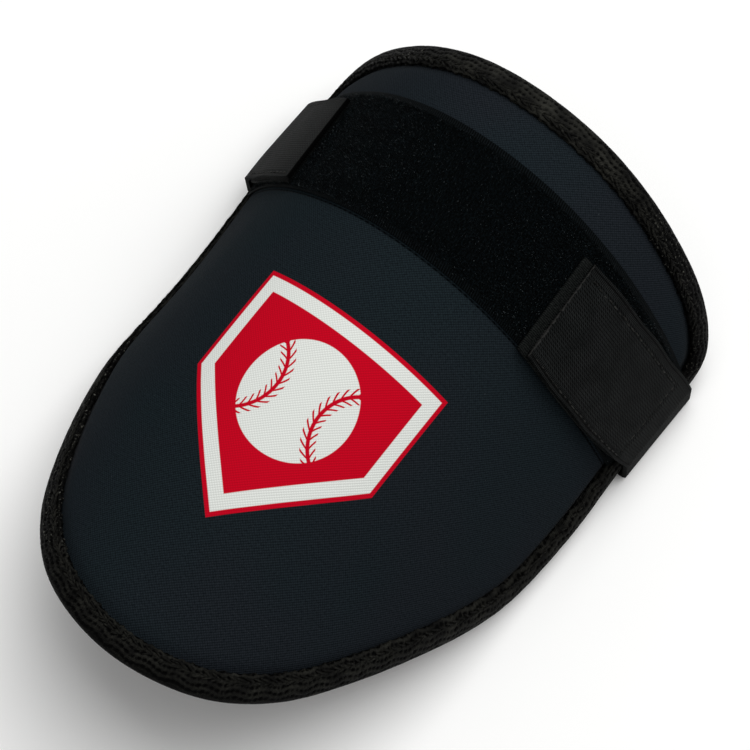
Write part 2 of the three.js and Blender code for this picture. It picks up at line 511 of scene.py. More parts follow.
def form_grid(name: str, points: np.ndarray, uvs: np.ndarray,
              fields: dict[str, np.ndarray] | None = None) -> bpy.types.Object:
    """Lay a flat grid out, form it over the guard, and close it where its points meet.

    Args:
        name: the piece's name.
        points: rows by columns of places in millimetres.
        uvs: rows by columns of cloth coordinates in millimetres.
        fields: rows by columns of values that the finish reads by name, where it does.

    Returns:
        The formed piece, at the origin.
    """
    rows, columns = points.shape[:2]
    bpy.ops.object.select_all(action="DESELECT")
    bpy.ops.mesh.primitive_grid_add(x_subdivisions=columns - 1, y_subdivisions=rows - 1, size=1)
    piece = newly_added(name)
    mesh = piece.data
    mesh.vertices.foreach_set("co", (points.reshape(-1, 3) * MM).astype(np.float32).ravel())
    corners = np.empty(len(mesh.loops), np.int32)
    mesh.loops.foreach_get("vertex_index", corners)
    cloth = (uvs.reshape(-1, 2) * MM).astype(np.float32)
    mesh.uv_layers[0].data.foreach_set("uv", cloth[corners].ravel())
    for field, values in (fields or {}).items():
        layer = mesh.attributes.new(field, "FLOAT", "POINT")
        layer.data.foreach_set("value", values.astype(np.float32).ravel())
    mesh.update()
    bpy.ops.object.mode_set(mode="EDIT")
    bpy.ops.mesh.select_all(action="SELECT")
    bpy.ops.mesh.remove_doubles(threshold=MERGE_GAP)
    bpy.ops.object.mode_set(mode="OBJECT")
    return piece


def thicken(piece: bpy.types.Object, thickness: float, edge_round: float) -> None:
    """Give a formed sheet its thickness inwards and round its cut edges.

    Args:
        piece: the sheet.
        thickness: its thickness.
        edge_round: how far the edges are rounded.
    """
    solid = piece.modifiers.new("thickness", "SOLIDIFY")
    solid.thickness = thickness * MM
    solid.offset = -1
    bevel = piece.modifiers.new("edge_round", "BEVEL")
    bevel.width = edge_round * MM
    bevel.segments = 2
    bevel.limit_method = "ANGLE"
    bevel.angle_limit = SHARP_EDGE
    bpy.context.view_layer.objects.active = piece
    for modifier in (solid, bevel):
        bpy.ops.object.modifier_apply(modifier=modifier.name)


def turn_outward(piece: bpy.types.Object) -> None:
    """Point a closed piece's faces outwards and shade it smooth.

    Args:
        piece: the piece.
    """
    bpy.ops.object.select_all(action="DESELECT")
    piece.select_set(True)
    bpy.context.view_layer.objects.active = piece
    bpy.ops.object.mode_set(mode="EDIT")
    bpy.ops.mesh.select_all(action="SELECT")
    bpy.ops.mesh.normals_make_consistent(inside=False)
    bpy.ops.object.mode_set(mode="OBJECT")
    bpy.ops.object.shade_smooth()


def take_shape() -> Shape:
    """Take the shape that an operator has just added, and clear it away.

    An operator can number the points of a shape in another order each run, so they are sorted.

    Returns:
        Its points and its faces.
    """
    model = bpy.context.view_layer.objects.active
    points = np.round([vertex.co for vertex in model.data.vertices], SHAPE_DIGITS)
    order = np.lexsort(points.T)
    rank = np.argsort(order).tolist()
    faces = []
    for face in model.data.polygons:
        corners = [rank[corner] for corner in face.vertices]
        first = corners.index(min(corners))
        faces.append(tuple(corners[first:] + corners[:first]))
    bpy.data.meshes.remove(model.data)
    return points[order], sorted(faces)


def model_stitch(segments: int, rings: int, size: Spot) -> Shape:
    """Model one stitch as a drawn-out ball.

    Args:
        segments: its sides.
        rings: its rings from end to end.
        size: its half sizes aside, out and along.

    Returns:
        Its points and its faces.
    """
    bpy.ops.object.select_all(action="DESELECT")
    bpy.ops.mesh.primitive_uv_sphere_add(segments=segments, ring_count=rings, radius=1)
    bpy.ops.transform.resize(value=size)
    bpy.ops.object.transform_apply(scale=True)
    return take_shape()


def lay_copies(points: np.ndarray, middle: np.ndarray, aside: np.ndarray, out: np.ndarray,
               along: np.ndarray) -> np.ndarray:
    """Lay copies of a stitch, each by its own three directions.

    Args:
        points: the stitch's points.
        middle: the copies' middles.
        aside: what each copy's first axis becomes.
        out: what its second axis becomes.
        along: what its third axis becomes.

    Returns:
        Copies by points of places.
    """
    x, y, z = (points[None, :, axis:axis + 1] for axis in range(3))
    return middle[:, None] + x * aside[:, None] + y * out[:, None] + z * along[:, None]


def join_copies(name: str, copies: np.ndarray, faces: list[tuple[int, ...]]) -> bpy.types.Object:
    """Join many small copies of one shape into a piece.

    Args:
        name: the piece's name.
        copies: copies by points of places in millimetres.
        faces: one copy's faces.

    Returns:
        The piece, at the origin, smooth shaded.
    """
    size = copies.shape[1]
    joined = [tuple(start + corner for corner in face)
              for start in range(0, len(copies) * size, size) for face in faces]
    mesh = bpy.data.meshes.new(name)
    mesh.from_pydata((copies.reshape(-1, 3) * MM).tolist(), [], joined)
    mesh.polygons.foreach_set("use_smooth", np.ones(len(mesh.polygons), bool))
    mesh.update()
    piece = bpy.data.objects.new(name, mesh)
    bpy.context.collection.objects.link(piece)
    return piece


def dress(piece: bpy.types.Object, material: bpy.types.Material, slot: str, *nodes: str) -> None:
    """Give a piece its finish and its place in the part, and report it.

    Args:
        piece: the piece.
        material: its finish.
        slot: the record's material slot; not used.
        nodes: the solids that it stands for.
    """
    piece.data.materials.clear()
    piece.data.materials.append(material)
    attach(piece, BODY)
    if nodes:
        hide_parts(*nodes)
    LOG.info("%s: %d faces", piece.name, len(piece.data.polygons))


class ClothMaterial:
    """A material in the making, with its cloth and body coordinates in millimetres."""

    def __init__(self, name: str) -> None:
        """Start the material with its coordinates.

        Args:
            name: what the material is and how it was made.
        """
        self.material = bpy.data.materials.new(name)
        self.material.use_nodes = True
        self.tree = self.material.node_tree
        self.tree.nodes.clear()
        coordinates = self.add("TexCoord").node
        self.cloth = self.add("VectorMath", coordinates.outputs["UV"], 1 / MM, operation="SCALE")
        self.body = self.add("VectorMath", coordinates.outputs["Object"], 1 / MM, operation="SCALE")
        split = self.add("SeparateXYZ", self.cloth).node
        self.u, self.v = split.outputs[0], split.outputs[1]

    def add(self, kind: str, *values: object, **settings: object) -> Socket:
        """Add a node to this material, as add_node does."""
        return add_node(self.tree, kind, *values, **settings)

    def wave(self, place: Socket, pitch: float, shift: object = 0.0) -> Socket:
        """Draw a rounded repeat.

        Args:
            place: a length in millimetres.
            pitch: the repeat's length.
            shift: a number or socket, in turns.

        Returns:
            The wave, from -1 to 1.
        """
        turns = self.add("Math", place, 1 / pitch, shift, operation="MULTIPLY_ADD")
        angle = self.add("Math", turns, 2 * math.pi, operation="MULTIPLY")
        return self.add("Math", angle, operation="COSINE")

    def uneven(self, grain: float, amount: float = 1.0, on_body: bool = False) -> Socket:
        """Draw a random unevenness.

        Args:
            grain: its size in millimetres.
            amount: how far it goes either way.
            on_body: whether it lies in the body's space and not on the cloth.

        Returns:
            The field, about -amount to amount.
        """
        noise = self.add("TexNoise", self.body if on_body else self.cloth, 1 / grain, NOISE_DETAIL)
        return self.add("Math", noise, 2 * amount, -amount, operation="MULTIPLY_ADD")

    def patches(self, grain: float, limits: Span, on_body: bool = False) -> Socket:
        """Draw random patches, from 0 below the first limit of an unevenness to 1 above the second."""
        return self.add("MapRange", self.uneven(grain, on_body=on_body), *limits)

    def finish(self, colour: Socket, height: Socket, depth: float, **sockets: object) -> bpy.types.Material:
        """Add the shader.

        Args:
            colour: the base colour's socket.
            height: relief from 0 to 1.
            depth: the relief's depth in millimetres.
            sockets: the shader's other constants by name, with _ for a space.

        Returns:
            The material.
        """
        bump = self.add("Bump", 1.0, depth * MM)
        self.tree.links.new(height, bump.node.inputs["Height"])
        shader = self.add("BsdfPrincipled", colour).node
        self.tree.links.new(bump, shader.inputs["Normal"])
        for name, value in sockets.items():
            shader.inputs[name.replace("_", " ")].default_value = value
        self.add("OutputMaterial", shader.outputs[0])
        return self.material


@dataclass(frozen=True)
class Emblem:
    """A home plate with a ball on it, printed on the knit in two inks."""

    red: str = "#be0820"
    white: str = "#dde0db"
    plate_half: float = 33
    plate_along: float = -21
    rim: float = 1.3
    band: float = 4.2
    ball_radius: float = 17
    ball_along: float = -14.5
    ink_edge: float = 0.12
    seam_centre: float = 21.25
    seam_radius: float = 13.94
    seam_half: float = 0.55
    tick_reach: float = 2.2
    tick_turns: float = 36
    tick_lean: float = 0.09
    tick_width: Span = (0.35, 0.7)

    def inside(self, cloth: ClothMaterial, distance: Socket, reach: float) -> Socket:
        """Tell where a distance is under a reach, with a soft ink edge."""
        limits = (reach + self.ink_edge, reach - self.ink_edge)
        return cloth.add("MapRange", distance, *limits, interpolation_type="SMOOTHSTEP")

    def plate(self, cloth: ClothMaterial) -> Socket:
        """Work out how far a place lies outside the plate's edge.

        Args:
            cloth: the material that it is printed on.

        Returns:
            The distance, below 0 on the plate.
        """
        aside = cloth.add("Math", cloth.u, operation="ABSOLUTE")
        up = cloth.add("Math", cloth.v, self.plate_along, operation="SUBTRACT")
        wall = cloth.add("Math", aside, self.plate_half, operation="SUBTRACT")
        top = cloth.add("Math", up, self.plate_half, operation="SUBTRACT")
        slant = cloth.add("Math", aside, up, operation="SUBTRACT")
        beyond = cloth.add("Math", slant, self.plate_half, operation="SUBTRACT")
        point = cloth.add("Math", beyond, math.sqrt(0.5), operation="MULTIPLY")
        square = cloth.add("Math", wall, top, operation="MAXIMUM")
        return cloth.add("Math", square, point, operation="MAXIMUM")

    def seams(self, cloth: ClothMaterial, aside: Socket, rise: Socket) -> Socket:
        """Draw the ball's two sewn seams, each a bent line with leaning ticks.

        Args:
            cloth: the material that it is printed on.
            aside: lengths aside of the ball's middle.
            rise: lengths above it.

        Returns:
            Where there is thread.
        """
        side = cloth.add("Math", aside, self.seam_centre, operation="SUBTRACT")
        reach = cloth.add("VectorMath", cloth.add("CombineXYZ", side, rise), operation="LENGTH")
        past = cloth.add("Math", reach, self.seam_radius, operation="SUBTRACT")
        off_seam = cloth.add("Math", past, operation="ABSOLUTE")
        mirrored = cloth.add("Math", side, -1.0, operation="MULTIPLY")
        angle = cloth.add("Math", rise, mirrored, operation="ARCTAN2")
        lean = cloth.add("Math", off_seam, self.tick_lean, operation="MULTIPLY")
        leant = cloth.add("Math", angle, lean, operation="SUBTRACT")
        turned = cloth.add("Math", leant, self.tick_turns, operation="MULTIPLY")
        tick = cloth.add("MapRange", cloth.add("Math", turned, operation="COSINE"), *self.tick_width)
        near = self.inside(cloth, off_seam, self.tick_reach)
        ticks = cloth.add("Math", tick, near, operation="MULTIPLY")
        return cloth.add("Math", ticks, self.inside(cloth, off_seam, self.seam_half), operation="MAXIMUM")

    def ball(self, cloth: ClothMaterial) -> Socket:
        """Draw the ball's white leather, less its seams.

        Args:
            cloth: the material that it is printed on.

        Returns:
            Where there is leather.
        """
        aside = cloth.add("Math", cloth.u, operation="ABSOLUTE")
        rise = cloth.add("Math", cloth.v, self.ball_along, operation="SUBTRACT")
        reach = cloth.add("VectorMath", cloth.add("CombineXYZ", aside, rise), operation="LENGTH")
        bare = cloth.add("Math", 1.0, self.seams(cloth, aside, rise), operation="SUBTRACT")
        return cloth.add("Math", self.inside(cloth, reach, self.ball_radius), bare, operation="MULTIPLY")

    def ink(self, cloth: ClothMaterial) -> tuple[Socket, Socket]:
        """Draw the print.

        Args:
            cloth: the material that it is printed on.

        Returns:
            Where there is ink, and its colour.
        """
        outside = self.plate(cloth)
        within_rim = self.inside(cloth, outside, -self.rim)
        field = self.inside(cloth, outside, -self.rim - self.band)
        band = cloth.add("Math", within_rim, field, operation="SUBTRACT")
        pale = cloth.add("Math", band, self.ball(cloth), operation="MAXIMUM")
        colour = cloth.add("Mix", pale, srgb(self.red), srgb(self.white), data_type="RGBA")
        return self.inside(cloth, outside, 0.0), colour


@dataclass(frozen=True)
class JerseyKnit:
    """Nylon jersey laminated to foam.

    The eye sees a fine grid of small stitches in staggered rows, charcoal with a cool cast, and
    almost no gloss. The real stitches are about two thirds of this size and are drawn coarser so
    that they show.
    """

    name: str = "nylon_jersey_laminated_on_foam"
    yarn: str = "#1e272b"
    warm_yarn: str = "#22262b"
    gap: str = "#0f1316"
    lint: str = "#4a5054"
    sheen: str = "#f6eeee"
    seam_thread_and_shade: str = "#010101"
    course: float = 0.45
    wale: float = 0.5
    wale_rise: float = 0.25
    legs: tuple[Span, ...] = ((-0.5, 0.62), (0.5, 0.38))
    relief_limits: Span = (-1.0, 1.25)
    depth: float = 0.1
    drift_grain: float = 60
    drift_limits: Span = (-0.3, 0.3)
    fuzz_grain: float = 0.7
    fuzz: float = 0.6
    shown_limits: Span = (-0.05, 0.95)
    lint_grain: float = 0.8
    lint_limits: Span = (0.46, 0.56)
    lint_share: float = 0.4
    seam_along: float = 36.5
    seam_half: float = 0.4
    seam_core: float = 0.1
    seam_stitch: float = 2.2
    seam_dash: Span = (0.2, 0.75)
    seam_pull: float = 2.0
    ink_shade: float = 0.25
    ink_level: float = 0.55
    fibre_sheen: float = 0.03
    sheen_roughness: float = 0.25
    roughness: float = 0.8
    emblem: Emblem = Emblem()

    def stitches(self, cloth: ClothMaterial) -> Socket:
        """Draw the knit's relief: ribs crossed by the two legs of each stitch.

        Args:
            cloth: the material.

        Returns:
            The relief, from 0 to 1.
        """
        relief = cloth.add("Math", cloth.wave(cloth.u, self.wale), self.wale_rise, operation="MULTIPLY")
        for lean, weight in self.legs:
            slant = cloth.add("Math", cloth.v, lean / self.course, operation="MULTIPLY")
            leg = cloth.wave(cloth.u, 2 * self.wale, slant)
            relief = cloth.add("Math", leg, weight, relief, operation="MULTIPLY_ADD")
        return cloth.add("MapRange", relief, *self.relief_limits)

    def seam(self, cloth: ClothMaterial) -> Socket:
        """Draw the seam that runs beside the loop tape, along the tape's own course.

        Args:
            cloth: the material.

        Returns:
            Where the seam's thread and its painted groove shade lie.
        """
        aside = cloth.add("Math", cloth.u, operation="ABSOLUTE")
        share = cloth.add("Math", aside, 1 / COURSE.curl_at, operation="MULTIPLY")
        curl = cloth.add("Math", share, COURSE.curl_power, operation="POWER")
        line = cloth.add("Math", curl, COURSE.tip_curl, self.seam_along, operation="MULTIPLY_ADD")
        past = cloth.add("Math", cloth.v, line, operation="SUBTRACT")
        off_seam = cloth.add("Math", past, operation="ABSOLUTE")
        near = cloth.add("MapRange", off_seam, self.seam_half, self.seam_core)
        stitch = cloth.wave(cloth.u, self.seam_stitch)
        dash = cloth.add("Math", stitch, *self.seam_dash, operation="MULTIPLY_ADD")
        return cloth.add("Math", dash, near, operation="MULTIPLY")

    def make(self) -> bpy.types.Material:
        """Make the material: knit, lint, the seam and then the print.

        Returns:
            The material.
        """
        cloth = ClothMaterial(self.name)
        height = self.stitches(cloth)
        drift = cloth.patches(self.drift_grain, self.drift_limits, on_body=True)
        yarn = cloth.add("Mix", drift, srgb(self.yarn), srgb(self.warm_yarn), data_type="RGBA")
        fuzzy = cloth.add("Math", height, cloth.uneven(self.fuzz_grain, self.fuzz), operation="ADD")
        shown = cloth.add("MapRange", fuzzy, *self.shown_limits)
        colour = cloth.add("Mix", shown, srgb(self.gap), yarn, data_type="RGBA")
        speck = cloth.patches(self.lint_grain, self.lint_limits)
        specked = cloth.add("Math", speck, self.lint_share, operation="MULTIPLY")
        colour = cloth.add("Mix", specked, colour, srgb(self.lint), data_type="RGBA")
        # Painted shade: the seam is an almost black, barely dashed line, for its stitches and for the shade
        # in its groove along the tape's edge.
        seam_and_shade = self.seam(cloth)
        colour = cloth.add("Mix", seam_and_shade, colour, srgb(self.seam_thread_and_shade), data_type="RGBA")
        height = cloth.add("Math", seam_and_shade, -self.seam_pull, height, operation="MULTIPLY_ADD")
        printed, ink = self.emblem.ink(cloth)
        shaded = cloth.add("Mix", self.ink_shade, ink, srgb(self.gap), data_type="RGBA")
        level = cloth.add("MapRange", height, 0.0, self.ink_level)
        inked = cloth.add("Mix", level, shaded, ink, data_type="RGBA")
        colour = cloth.add("Mix", printed, colour, inked, data_type="RGBA")
        return cloth.finish(colour, height, self.depth, Roughness=self.roughness, Specular_IOR_Level=0.0,
                            Sheen_Weight=self.fibre_sheen, Sheen_Roughness=self.sheen_roughness,
                            Sheen_Tint=srgb(self.sheen))


@dataclass(frozen=True)
class BindingWeave:
    """Polyester binding tape, woven open.

    The eye sees a black weave with an olive cast and rows of dark slits on its face. Round the
    fold, and at the spots of the mesh's painted shading, it is painted darker, almost black, as
    painted shade, with painted highlights in fine specks at those spots; at the top of the far
    end the painted shading is negative and paints it lighter.
    """

    name: str = "open_woven_polyester_binding"
    yarn: str = "#2b2b27"
    dull_yarn: str = "#131312"
    pit: str = "#020202"
    glint: str = "#5e5e57"
    ply: float = 0.55
    ply_slant: float = 0.7
    depth: float = 0.1
    fibre: float = 0.6
    shade_for_full_noise: float = 0.6
    noise_out_of_shade: float = 0.5
    fold_shade_limits: Span = (5.5, 9.0)
    fold_shade_depth: float = 0.4
    seen_limits: Span = (0.55, 1.25)
    patch_grain: float = 6
    patch_limits: Span = (-0.3, 0.3)
    highlight_grain: float = 0.8
    highlight_limits: Span = (0.2, 0.45)
    highlight_yarn_limits: Span = (-0.3, 0.5)
    highlight_shade_limits: Span = (0.05, 0.4)
    roughness: float = 0.6
    specular: float = 0.03

    def make(self) -> bpy.types.Material:
        """Make the material from the weave and the painted shading that the tape's mesh carries.

        Returns:
            The material.
        """
        cloth = ClothMaterial(self.name)
        woven = cloth.add("Attribute", attribute_name=RELIEF).node.outputs["Fac"]
        painted_shading = cloth.add("Attribute", attribute_name=PAINTED_SHADING_ATTRIBUTE).node.outputs["Fac"]
        slant = cloth.add("Math", cloth.v, self.ply_slant, cloth.u, operation="MULTIPLY_ADD")
        height = cloth.add("Math", cloth.wave(slant, self.ply), 0.5, 0.5, operation="MULTIPLY_ADD")
        # Painted light and shade: the painted shading spreads the fibre noise and is taken off the weave's
        # level, so the colour goes near black where it is positive and lighter where negative.
        shade_noise_weight = cloth.add("MapRange", painted_shading, 0.0, self.shade_for_full_noise, self.noise_out_of_shade, 1.0)
        fibres = cloth.add("Math", cloth.uneven(self.fibre), shade_noise_weight, woven, operation="MULTIPLY_ADD")
        fibres = cloth.add("Math", fibres, painted_shading, operation="SUBTRACT")
        # Painted shade: from 5.5 mm to 9 mm across the tape, over the fold onto the lining side, the weave
        # is painted darker.
        fold_shade = cloth.add("MapRange", cloth.v, *self.fold_shade_limits)
        fibres = cloth.add("Math", fold_shade, -self.fold_shade_depth, fibres, operation="MULTIPLY_ADD")
        seen = cloth.add("MapRange", fibres, *self.seen_limits)
        patch = cloth.patches(self.patch_grain, self.patch_limits)
        tone = cloth.add("Mix", patch, srgb(self.yarn), srgb(self.dull_yarn), data_type="RGBA")
        colour = cloth.add("Mix", seen, srgb(self.pit), tone, data_type="RGBA")
        # Painted highlights: fine specks of the glint colour on the yarn, only where the painted shading
        # darkens the rims.
        highlight_spots = cloth.patches(self.highlight_grain, self.highlight_limits)
        level = cloth.add("MapRange", fibres, *self.highlight_yarn_limits)
        bright = cloth.add("Math", highlight_spots, level, operation="MULTIPLY")
        in_painted_shade = cloth.add("MapRange", painted_shading, *self.highlight_shade_limits)
        bright = cloth.add("Math", bright, in_painted_shade, operation="MULTIPLY")
        colour = cloth.add("Mix", bright, colour, srgb(self.glint), data_type="RGBA")
        return cloth.finish(colour, height, self.depth, Roughness=self.roughness,
                            Specular_IOR_Level=self.specular)


@dataclass(frozen=True)
class BindingThread:
    """Textured polyester thread of the binding's chain stitch.

    The eye sees soft twisted loops, as dark and olive as the tape, fuzzy and matt.
    """

    name: str = "textured_polyester_chain_thread"
    light: str = "#262622"
    dark: str = "#040404"
    fuzz_grain: float = 0.7
    fuzz_limits: Span = (-0.35, 0.45)
    patch_grain: float = 6
    patch_limits: Span = (-0.5, 0.3)
    depth: float = 0.12
    roughness: float = 0.7
    specular: float = 0.05

    def make(self) -> bpy.types.Material:
        """Make the material.

        Returns:
            The material.
        """
        cloth = ClothMaterial(self.name)
        fuzz = cloth.patches(self.fuzz_grain, self.fuzz_limits, on_body=True)
        patch = cloth.patches(self.patch_grain, self.patch_limits, on_body=True)
        tone = cloth.add("Math", fuzz, patch, operation="MULTIPLY")
        colour = cloth.add("Mix", tone, srgb(self.dark), srgb(self.light), data_type="RGBA")
        return cloth.finish(colour, fuzz, self.depth, Roughness=self.roughness,
                            Specular_IOR_Level=self.specular)


@dataclass(frozen=True)
class LoopBacking:
    """Woven nylon ground of loop tape.

    The eye sees it only along the selvedges, as fine ribs square to the edge, black and matt.
    Under the pile it is painted near black, as painted shade.
    """

    name: str = "woven_nylon_loop_ground"
    yarn: str = "#0c1012"
    gap: str = "#020303"
    bed: str = "#010202"
    fuzz: str = "#0c1215"
    rib: float = 0.75
    rib_slant: float = 0.25
    depth: float = 0.2
    worn_grain: float = 0.5
    worn: float = 0.25
    seen_limits: Span = (0.1, 0.9)
    bed_limits: Span = (17.5, 16.5)
    fuzz_grain: float = 0.6
    fuzz_limits: Span = (-0.1, 0.5)
    roughness: float = 0.8
    specular: float = 0.02

    def make(self) -> bpy.types.Material:
        """Make the material.

        Returns:
            The material.
        """
        cloth = ClothMaterial(self.name)
        slant = cloth.add("Math", cloth.v, self.rib_slant, cloth.u, operation="MULTIPLY_ADD")
        height = cloth.add("Math", cloth.wave(slant, self.rib), 0.5, 0.5, operation="MULTIPLY_ADD")
        worn = cloth.add("Math", height, cloth.uneven(self.worn_grain, self.worn), operation="ADD")
        seen = cloth.add("MapRange", worn, *self.seen_limits)
        colour = cloth.add("Mix", seen, srgb(self.gap), srgb(self.yarn), data_type="RGBA")
        # Painted shade: under the pile the ground is coloured near black, with faint fuzz.
        aside = cloth.add("Math", cloth.v, operation="ABSOLUTE")
        under = cloth.add("MapRange", aside, *self.bed_limits)
        fuzz = cloth.patches(self.fuzz_grain, self.fuzz_limits)
        bed = cloth.add("Mix", fuzz, srgb(self.bed), srgb(self.fuzz), data_type="RGBA")
        colour = cloth.add("Mix", under, colour, bed, data_type="RGBA")
        return cloth.finish(colour, height, self.depth, Roughness=self.roughness,
                            Specular_IOR_Level=self.specular)


@dataclass(frozen=True)
class LoopPile:
    """Brushed nylon loops.

    The eye sees a deep black fuzz in soft clumps, with single fibres that catch the light.
    """

    name: str = "brushed_nylon_loops"
    dark: str = "#010202"
    light: str = "#1b2428"
    glint: str = "#6c7477"
    clump_grain: float = 4.5
    clump_limits: Span = (-0.6, 0.4)
    fleck_grain: float = 0.7
    fleck_limits: Span = (-0.2, 0.4)
    glint_grain: float = 0.55
    glint_limits: Span = (0.22, 0.55)
    depth: float = 0.01
    roughness: float = 0.5
    specular: float = 0.04

    def make(self) -> bpy.types.Material:
        """Make the material.

        Returns:
            The material.
        """
        cloth = ClothMaterial(self.name)
        clump = cloth.patches(self.clump_grain, self.clump_limits, on_body=True)
        fleck = cloth.patches(self.fleck_grain, self.fleck_limits, on_body=True)
        tone = cloth.add("Math", clump, fleck, operation="MULTIPLY")
        colour = cloth.add("Mix", tone, srgb(self.dark), srgb(self.light), data_type="RGBA")
        bright = cloth.patches(self.glint_grain, self.glint_limits, on_body=True)
        colour = cloth.add("Mix", bright, colour, srgb(self.glint), data_type="RGBA")
        return cloth.finish(colour, clump, self.depth, Roughness=self.roughness,
                            Specular_IOR_Level=self.specular)


@dataclass(frozen=True)
class ElasticWeave:
    """Woven elastic webbing.

    The eye sees tight ribs crossed by the weft in small staggered dots, plain hatched selvedges
    with a rolled edge, black with an olive cast. One cut end is fused to a paler lip and the
    other, at cut_at, is painted black, partly for its frayed fibres and partly as painted shade
    under that end. The real ribs are about 0.5 mm apart and are drawn coarser to show.
    """

    cut_at: float
    name: str = "woven_elastic_webbing"
    yarn: str = "#1e2020"
    dull_yarn: str = "#151717"
    gap: str = "#020202"
    fused: str = "#2b2b2a"
    rib: float = 0.85
    rib_rise: float = 0.4
    pick: float = 0.62
    pick_rise: float = 0.3
    stagger_rise: float = 0.5
    depth: float = 0.2
    selvedge: float = 2.3
    selvedge_blend: float = 0.15
    edge_line: float = 0.95
    line_limits: Span = (0.1, 0.3)
    worn_grain: float = 0.7
    worn: float = 0.3
    seen_limits: Span = (0.2, 0.8)
    patch_grain: float = 8
    patch_limits: Span = (-0.3, 0.3)
    ragged_grain: float = 1.4
    ragged: float = 0.9
    lip: float = 0.25
    lip_blend: float = 0.1
    fray_and_shade: float = 1.3
    fray_and_shade_blend: float = 0.2
    roughness: float = 0.7
    specular: float = 0.03

    def weave(self, cloth: ClothMaterial, aside: Socket) -> Socket:
        """Draw the relief of ribs and staggered weft, with plain selvedges.

        Args:
            cloth: the material.
            aside: lengths from the strap's middle line.

        Returns:
            The relief, from 0 to 1.
        """
        ribs = cloth.add("Math", cloth.wave(cloth.v, self.rib), self.rib_rise, operation="MULTIPLY")
        weft = cloth.wave(cloth.u, self.pick)
        picks = cloth.add("Math", weft, self.pick_rise, ribs, operation="MULTIPLY_ADD")
        shift = cloth.add("Math", cloth.u, 0.5 / self.pick, operation="MULTIPLY")
        dots = cloth.wave(cloth.v, self.rib, shift)
        woven = cloth.add("Math", dots, self.stagger_rise, picks, operation="MULTIPLY_ADD")
        plain = ROUTE.width / 2 - self.selvedge
        at_edge = cloth.add("MapRange", aside, plain - self.selvedge_blend, plain + self.selvedge_blend)
        relief = cloth.add("Mix", at_edge, woven, weft, data_type="FLOAT")
        return cloth.add("Math", relief, 0.5, 0.5, operation="MULTIPLY_ADD")

    def make(self) -> bpy.types.Material:
        """Make the material: weave, rolled edge, and the two cut ends.

        Returns:
            The material.
        """
        cloth = ClothMaterial(self.name)
        aside = cloth.add("Math", cloth.v, operation="ABSOLUTE")
        height = self.weave(cloth, aside)
        worn = cloth.add("Math", height, cloth.uneven(self.worn_grain, self.worn), operation="ADD")
        past_line = cloth.add("Math", aside, ROUTE.width / 2 - self.edge_line, operation="SUBTRACT")
        off_line = cloth.add("Math", past_line, operation="ABSOLUTE")
        open_line = cloth.add("MapRange", off_line, *self.line_limits)
        shown = cloth.add("MapRange", worn, *self.seen_limits)
        seen = cloth.add("Math", shown, open_line, operation="MULTIPLY")
        patch = cloth.patches(self.patch_grain, self.patch_limits)
        tone = cloth.add("Mix", patch, srgb(self.yarn), srgb(self.dull_yarn), data_type="RGBA")
        colour = cloth.add("Mix", seen, srgb(self.gap), tone, data_type="RGBA")
        torn = cloth.uneven(self.ragged_grain, self.ragged)
        ragged = cloth.add("Math", torn, cloth.u, operation="ADD")
        sealed = cloth.add("MapRange", ragged, self.lip + self.lip_blend, self.lip - self.lip_blend)
        colour = cloth.add("Mix", sealed, colour, srgb(self.fused), data_type="RGBA")
        # Painted shade: the last stretch of the strap at cut_at is painted black, partly for frayed fibres
        # and partly for the shade under that end.
        fray_and_shade_at = self.cut_at - self.fray_and_shade
        frayed_and_shaded = cloth.add("MapRange", ragged, fray_and_shade_at - self.fray_and_shade_blend, fray_and_shade_at + self.fray_and_shade_blend)
        colour = cloth.add("Mix", frayed_and_shaded, colour, srgb(self.gap), data_type="RGBA")
        height = cloth.add("Math", height, open_line, operation="MULTIPLY")
        return cloth.finish(colour, height, self.depth, Roughness=self.roughness,
                            Specular_IOR_Level=self.specular)


@dataclass(frozen=True)
class HookBacking:
    """Woven nylon back of hook tape.

    The eye sees fine lengthwise ribs, broken and uneven, black and matt.
    """

    name: str = "woven_nylon_hook_tape"
    yarn: str = "#1d1f1e"
    gap: str = "#0a0c0c"
    rib: float = 0.6
    sway_grain: float = 1.6
    sway: float = 0.9
    worn_grain: float = 0.7
    worn: float = 1.4
    seen_limits: Span = (-0.1, 1.1)
    depth: float = 0.25
    roughness: float = 0.8
    specular: float = 0.03

    def make(self) -> bpy.types.Material:
        """Make the material.

        Returns:
            The material.
        """
        cloth = ClothMaterial(self.name)
        ribs = cloth.wave(cloth.v, self.rib, cloth.uneven(self.sway_grain, self.sway))
        height = cloth.add("Math", ribs, 0.5, 0.5, operation="MULTIPLY_ADD")
        worn = cloth.add("Math", height, cloth.uneven(self.worn_grain, self.worn), operation="ADD")
        seen = cloth.add("MapRange", worn, *self.seen_limits)
        colour = cloth.add("Mix", seen, srgb(self.gap), srgb(self.yarn), data_type="RGBA")
        return cloth.finish(colour, height, self.depth, Roughness=self.roughness,
                            Specular_IOR_Level=self.specular)


@dataclass(frozen=True)
class SewingThread:
    """Bonded polyester sewing thread.

    The eye sees short black stitches, lighter than the webbing where their waxed tops catch the
    light.
    """

    name: str = "bonded_polyester_thread"
    light: str = "#2e2e2c"
    dark: str = "#040404"
    wax_grain: float = 1.6
    wax_limits: Span = (-0.3, 0.3)
    depth: float = 0.03
    roughness: float = 0.6
    specular: float = 0.05

    def make(self) -> bpy.types.Material:
        """Make the material.

        Returns:
            The material.
        """
        cloth = ClothMaterial(self.name)
        tone = cloth.patches(self.wax_grain, self.wax_limits, on_body=True)
        colour = cloth.add("Mix", tone, srgb(self.dark), srgb(self.light), data_type="RGBA")
        return cloth.finish(colour, tone, self.depth, Roughness=self.roughness,
                            Specular_IOR_Level=self.specular)


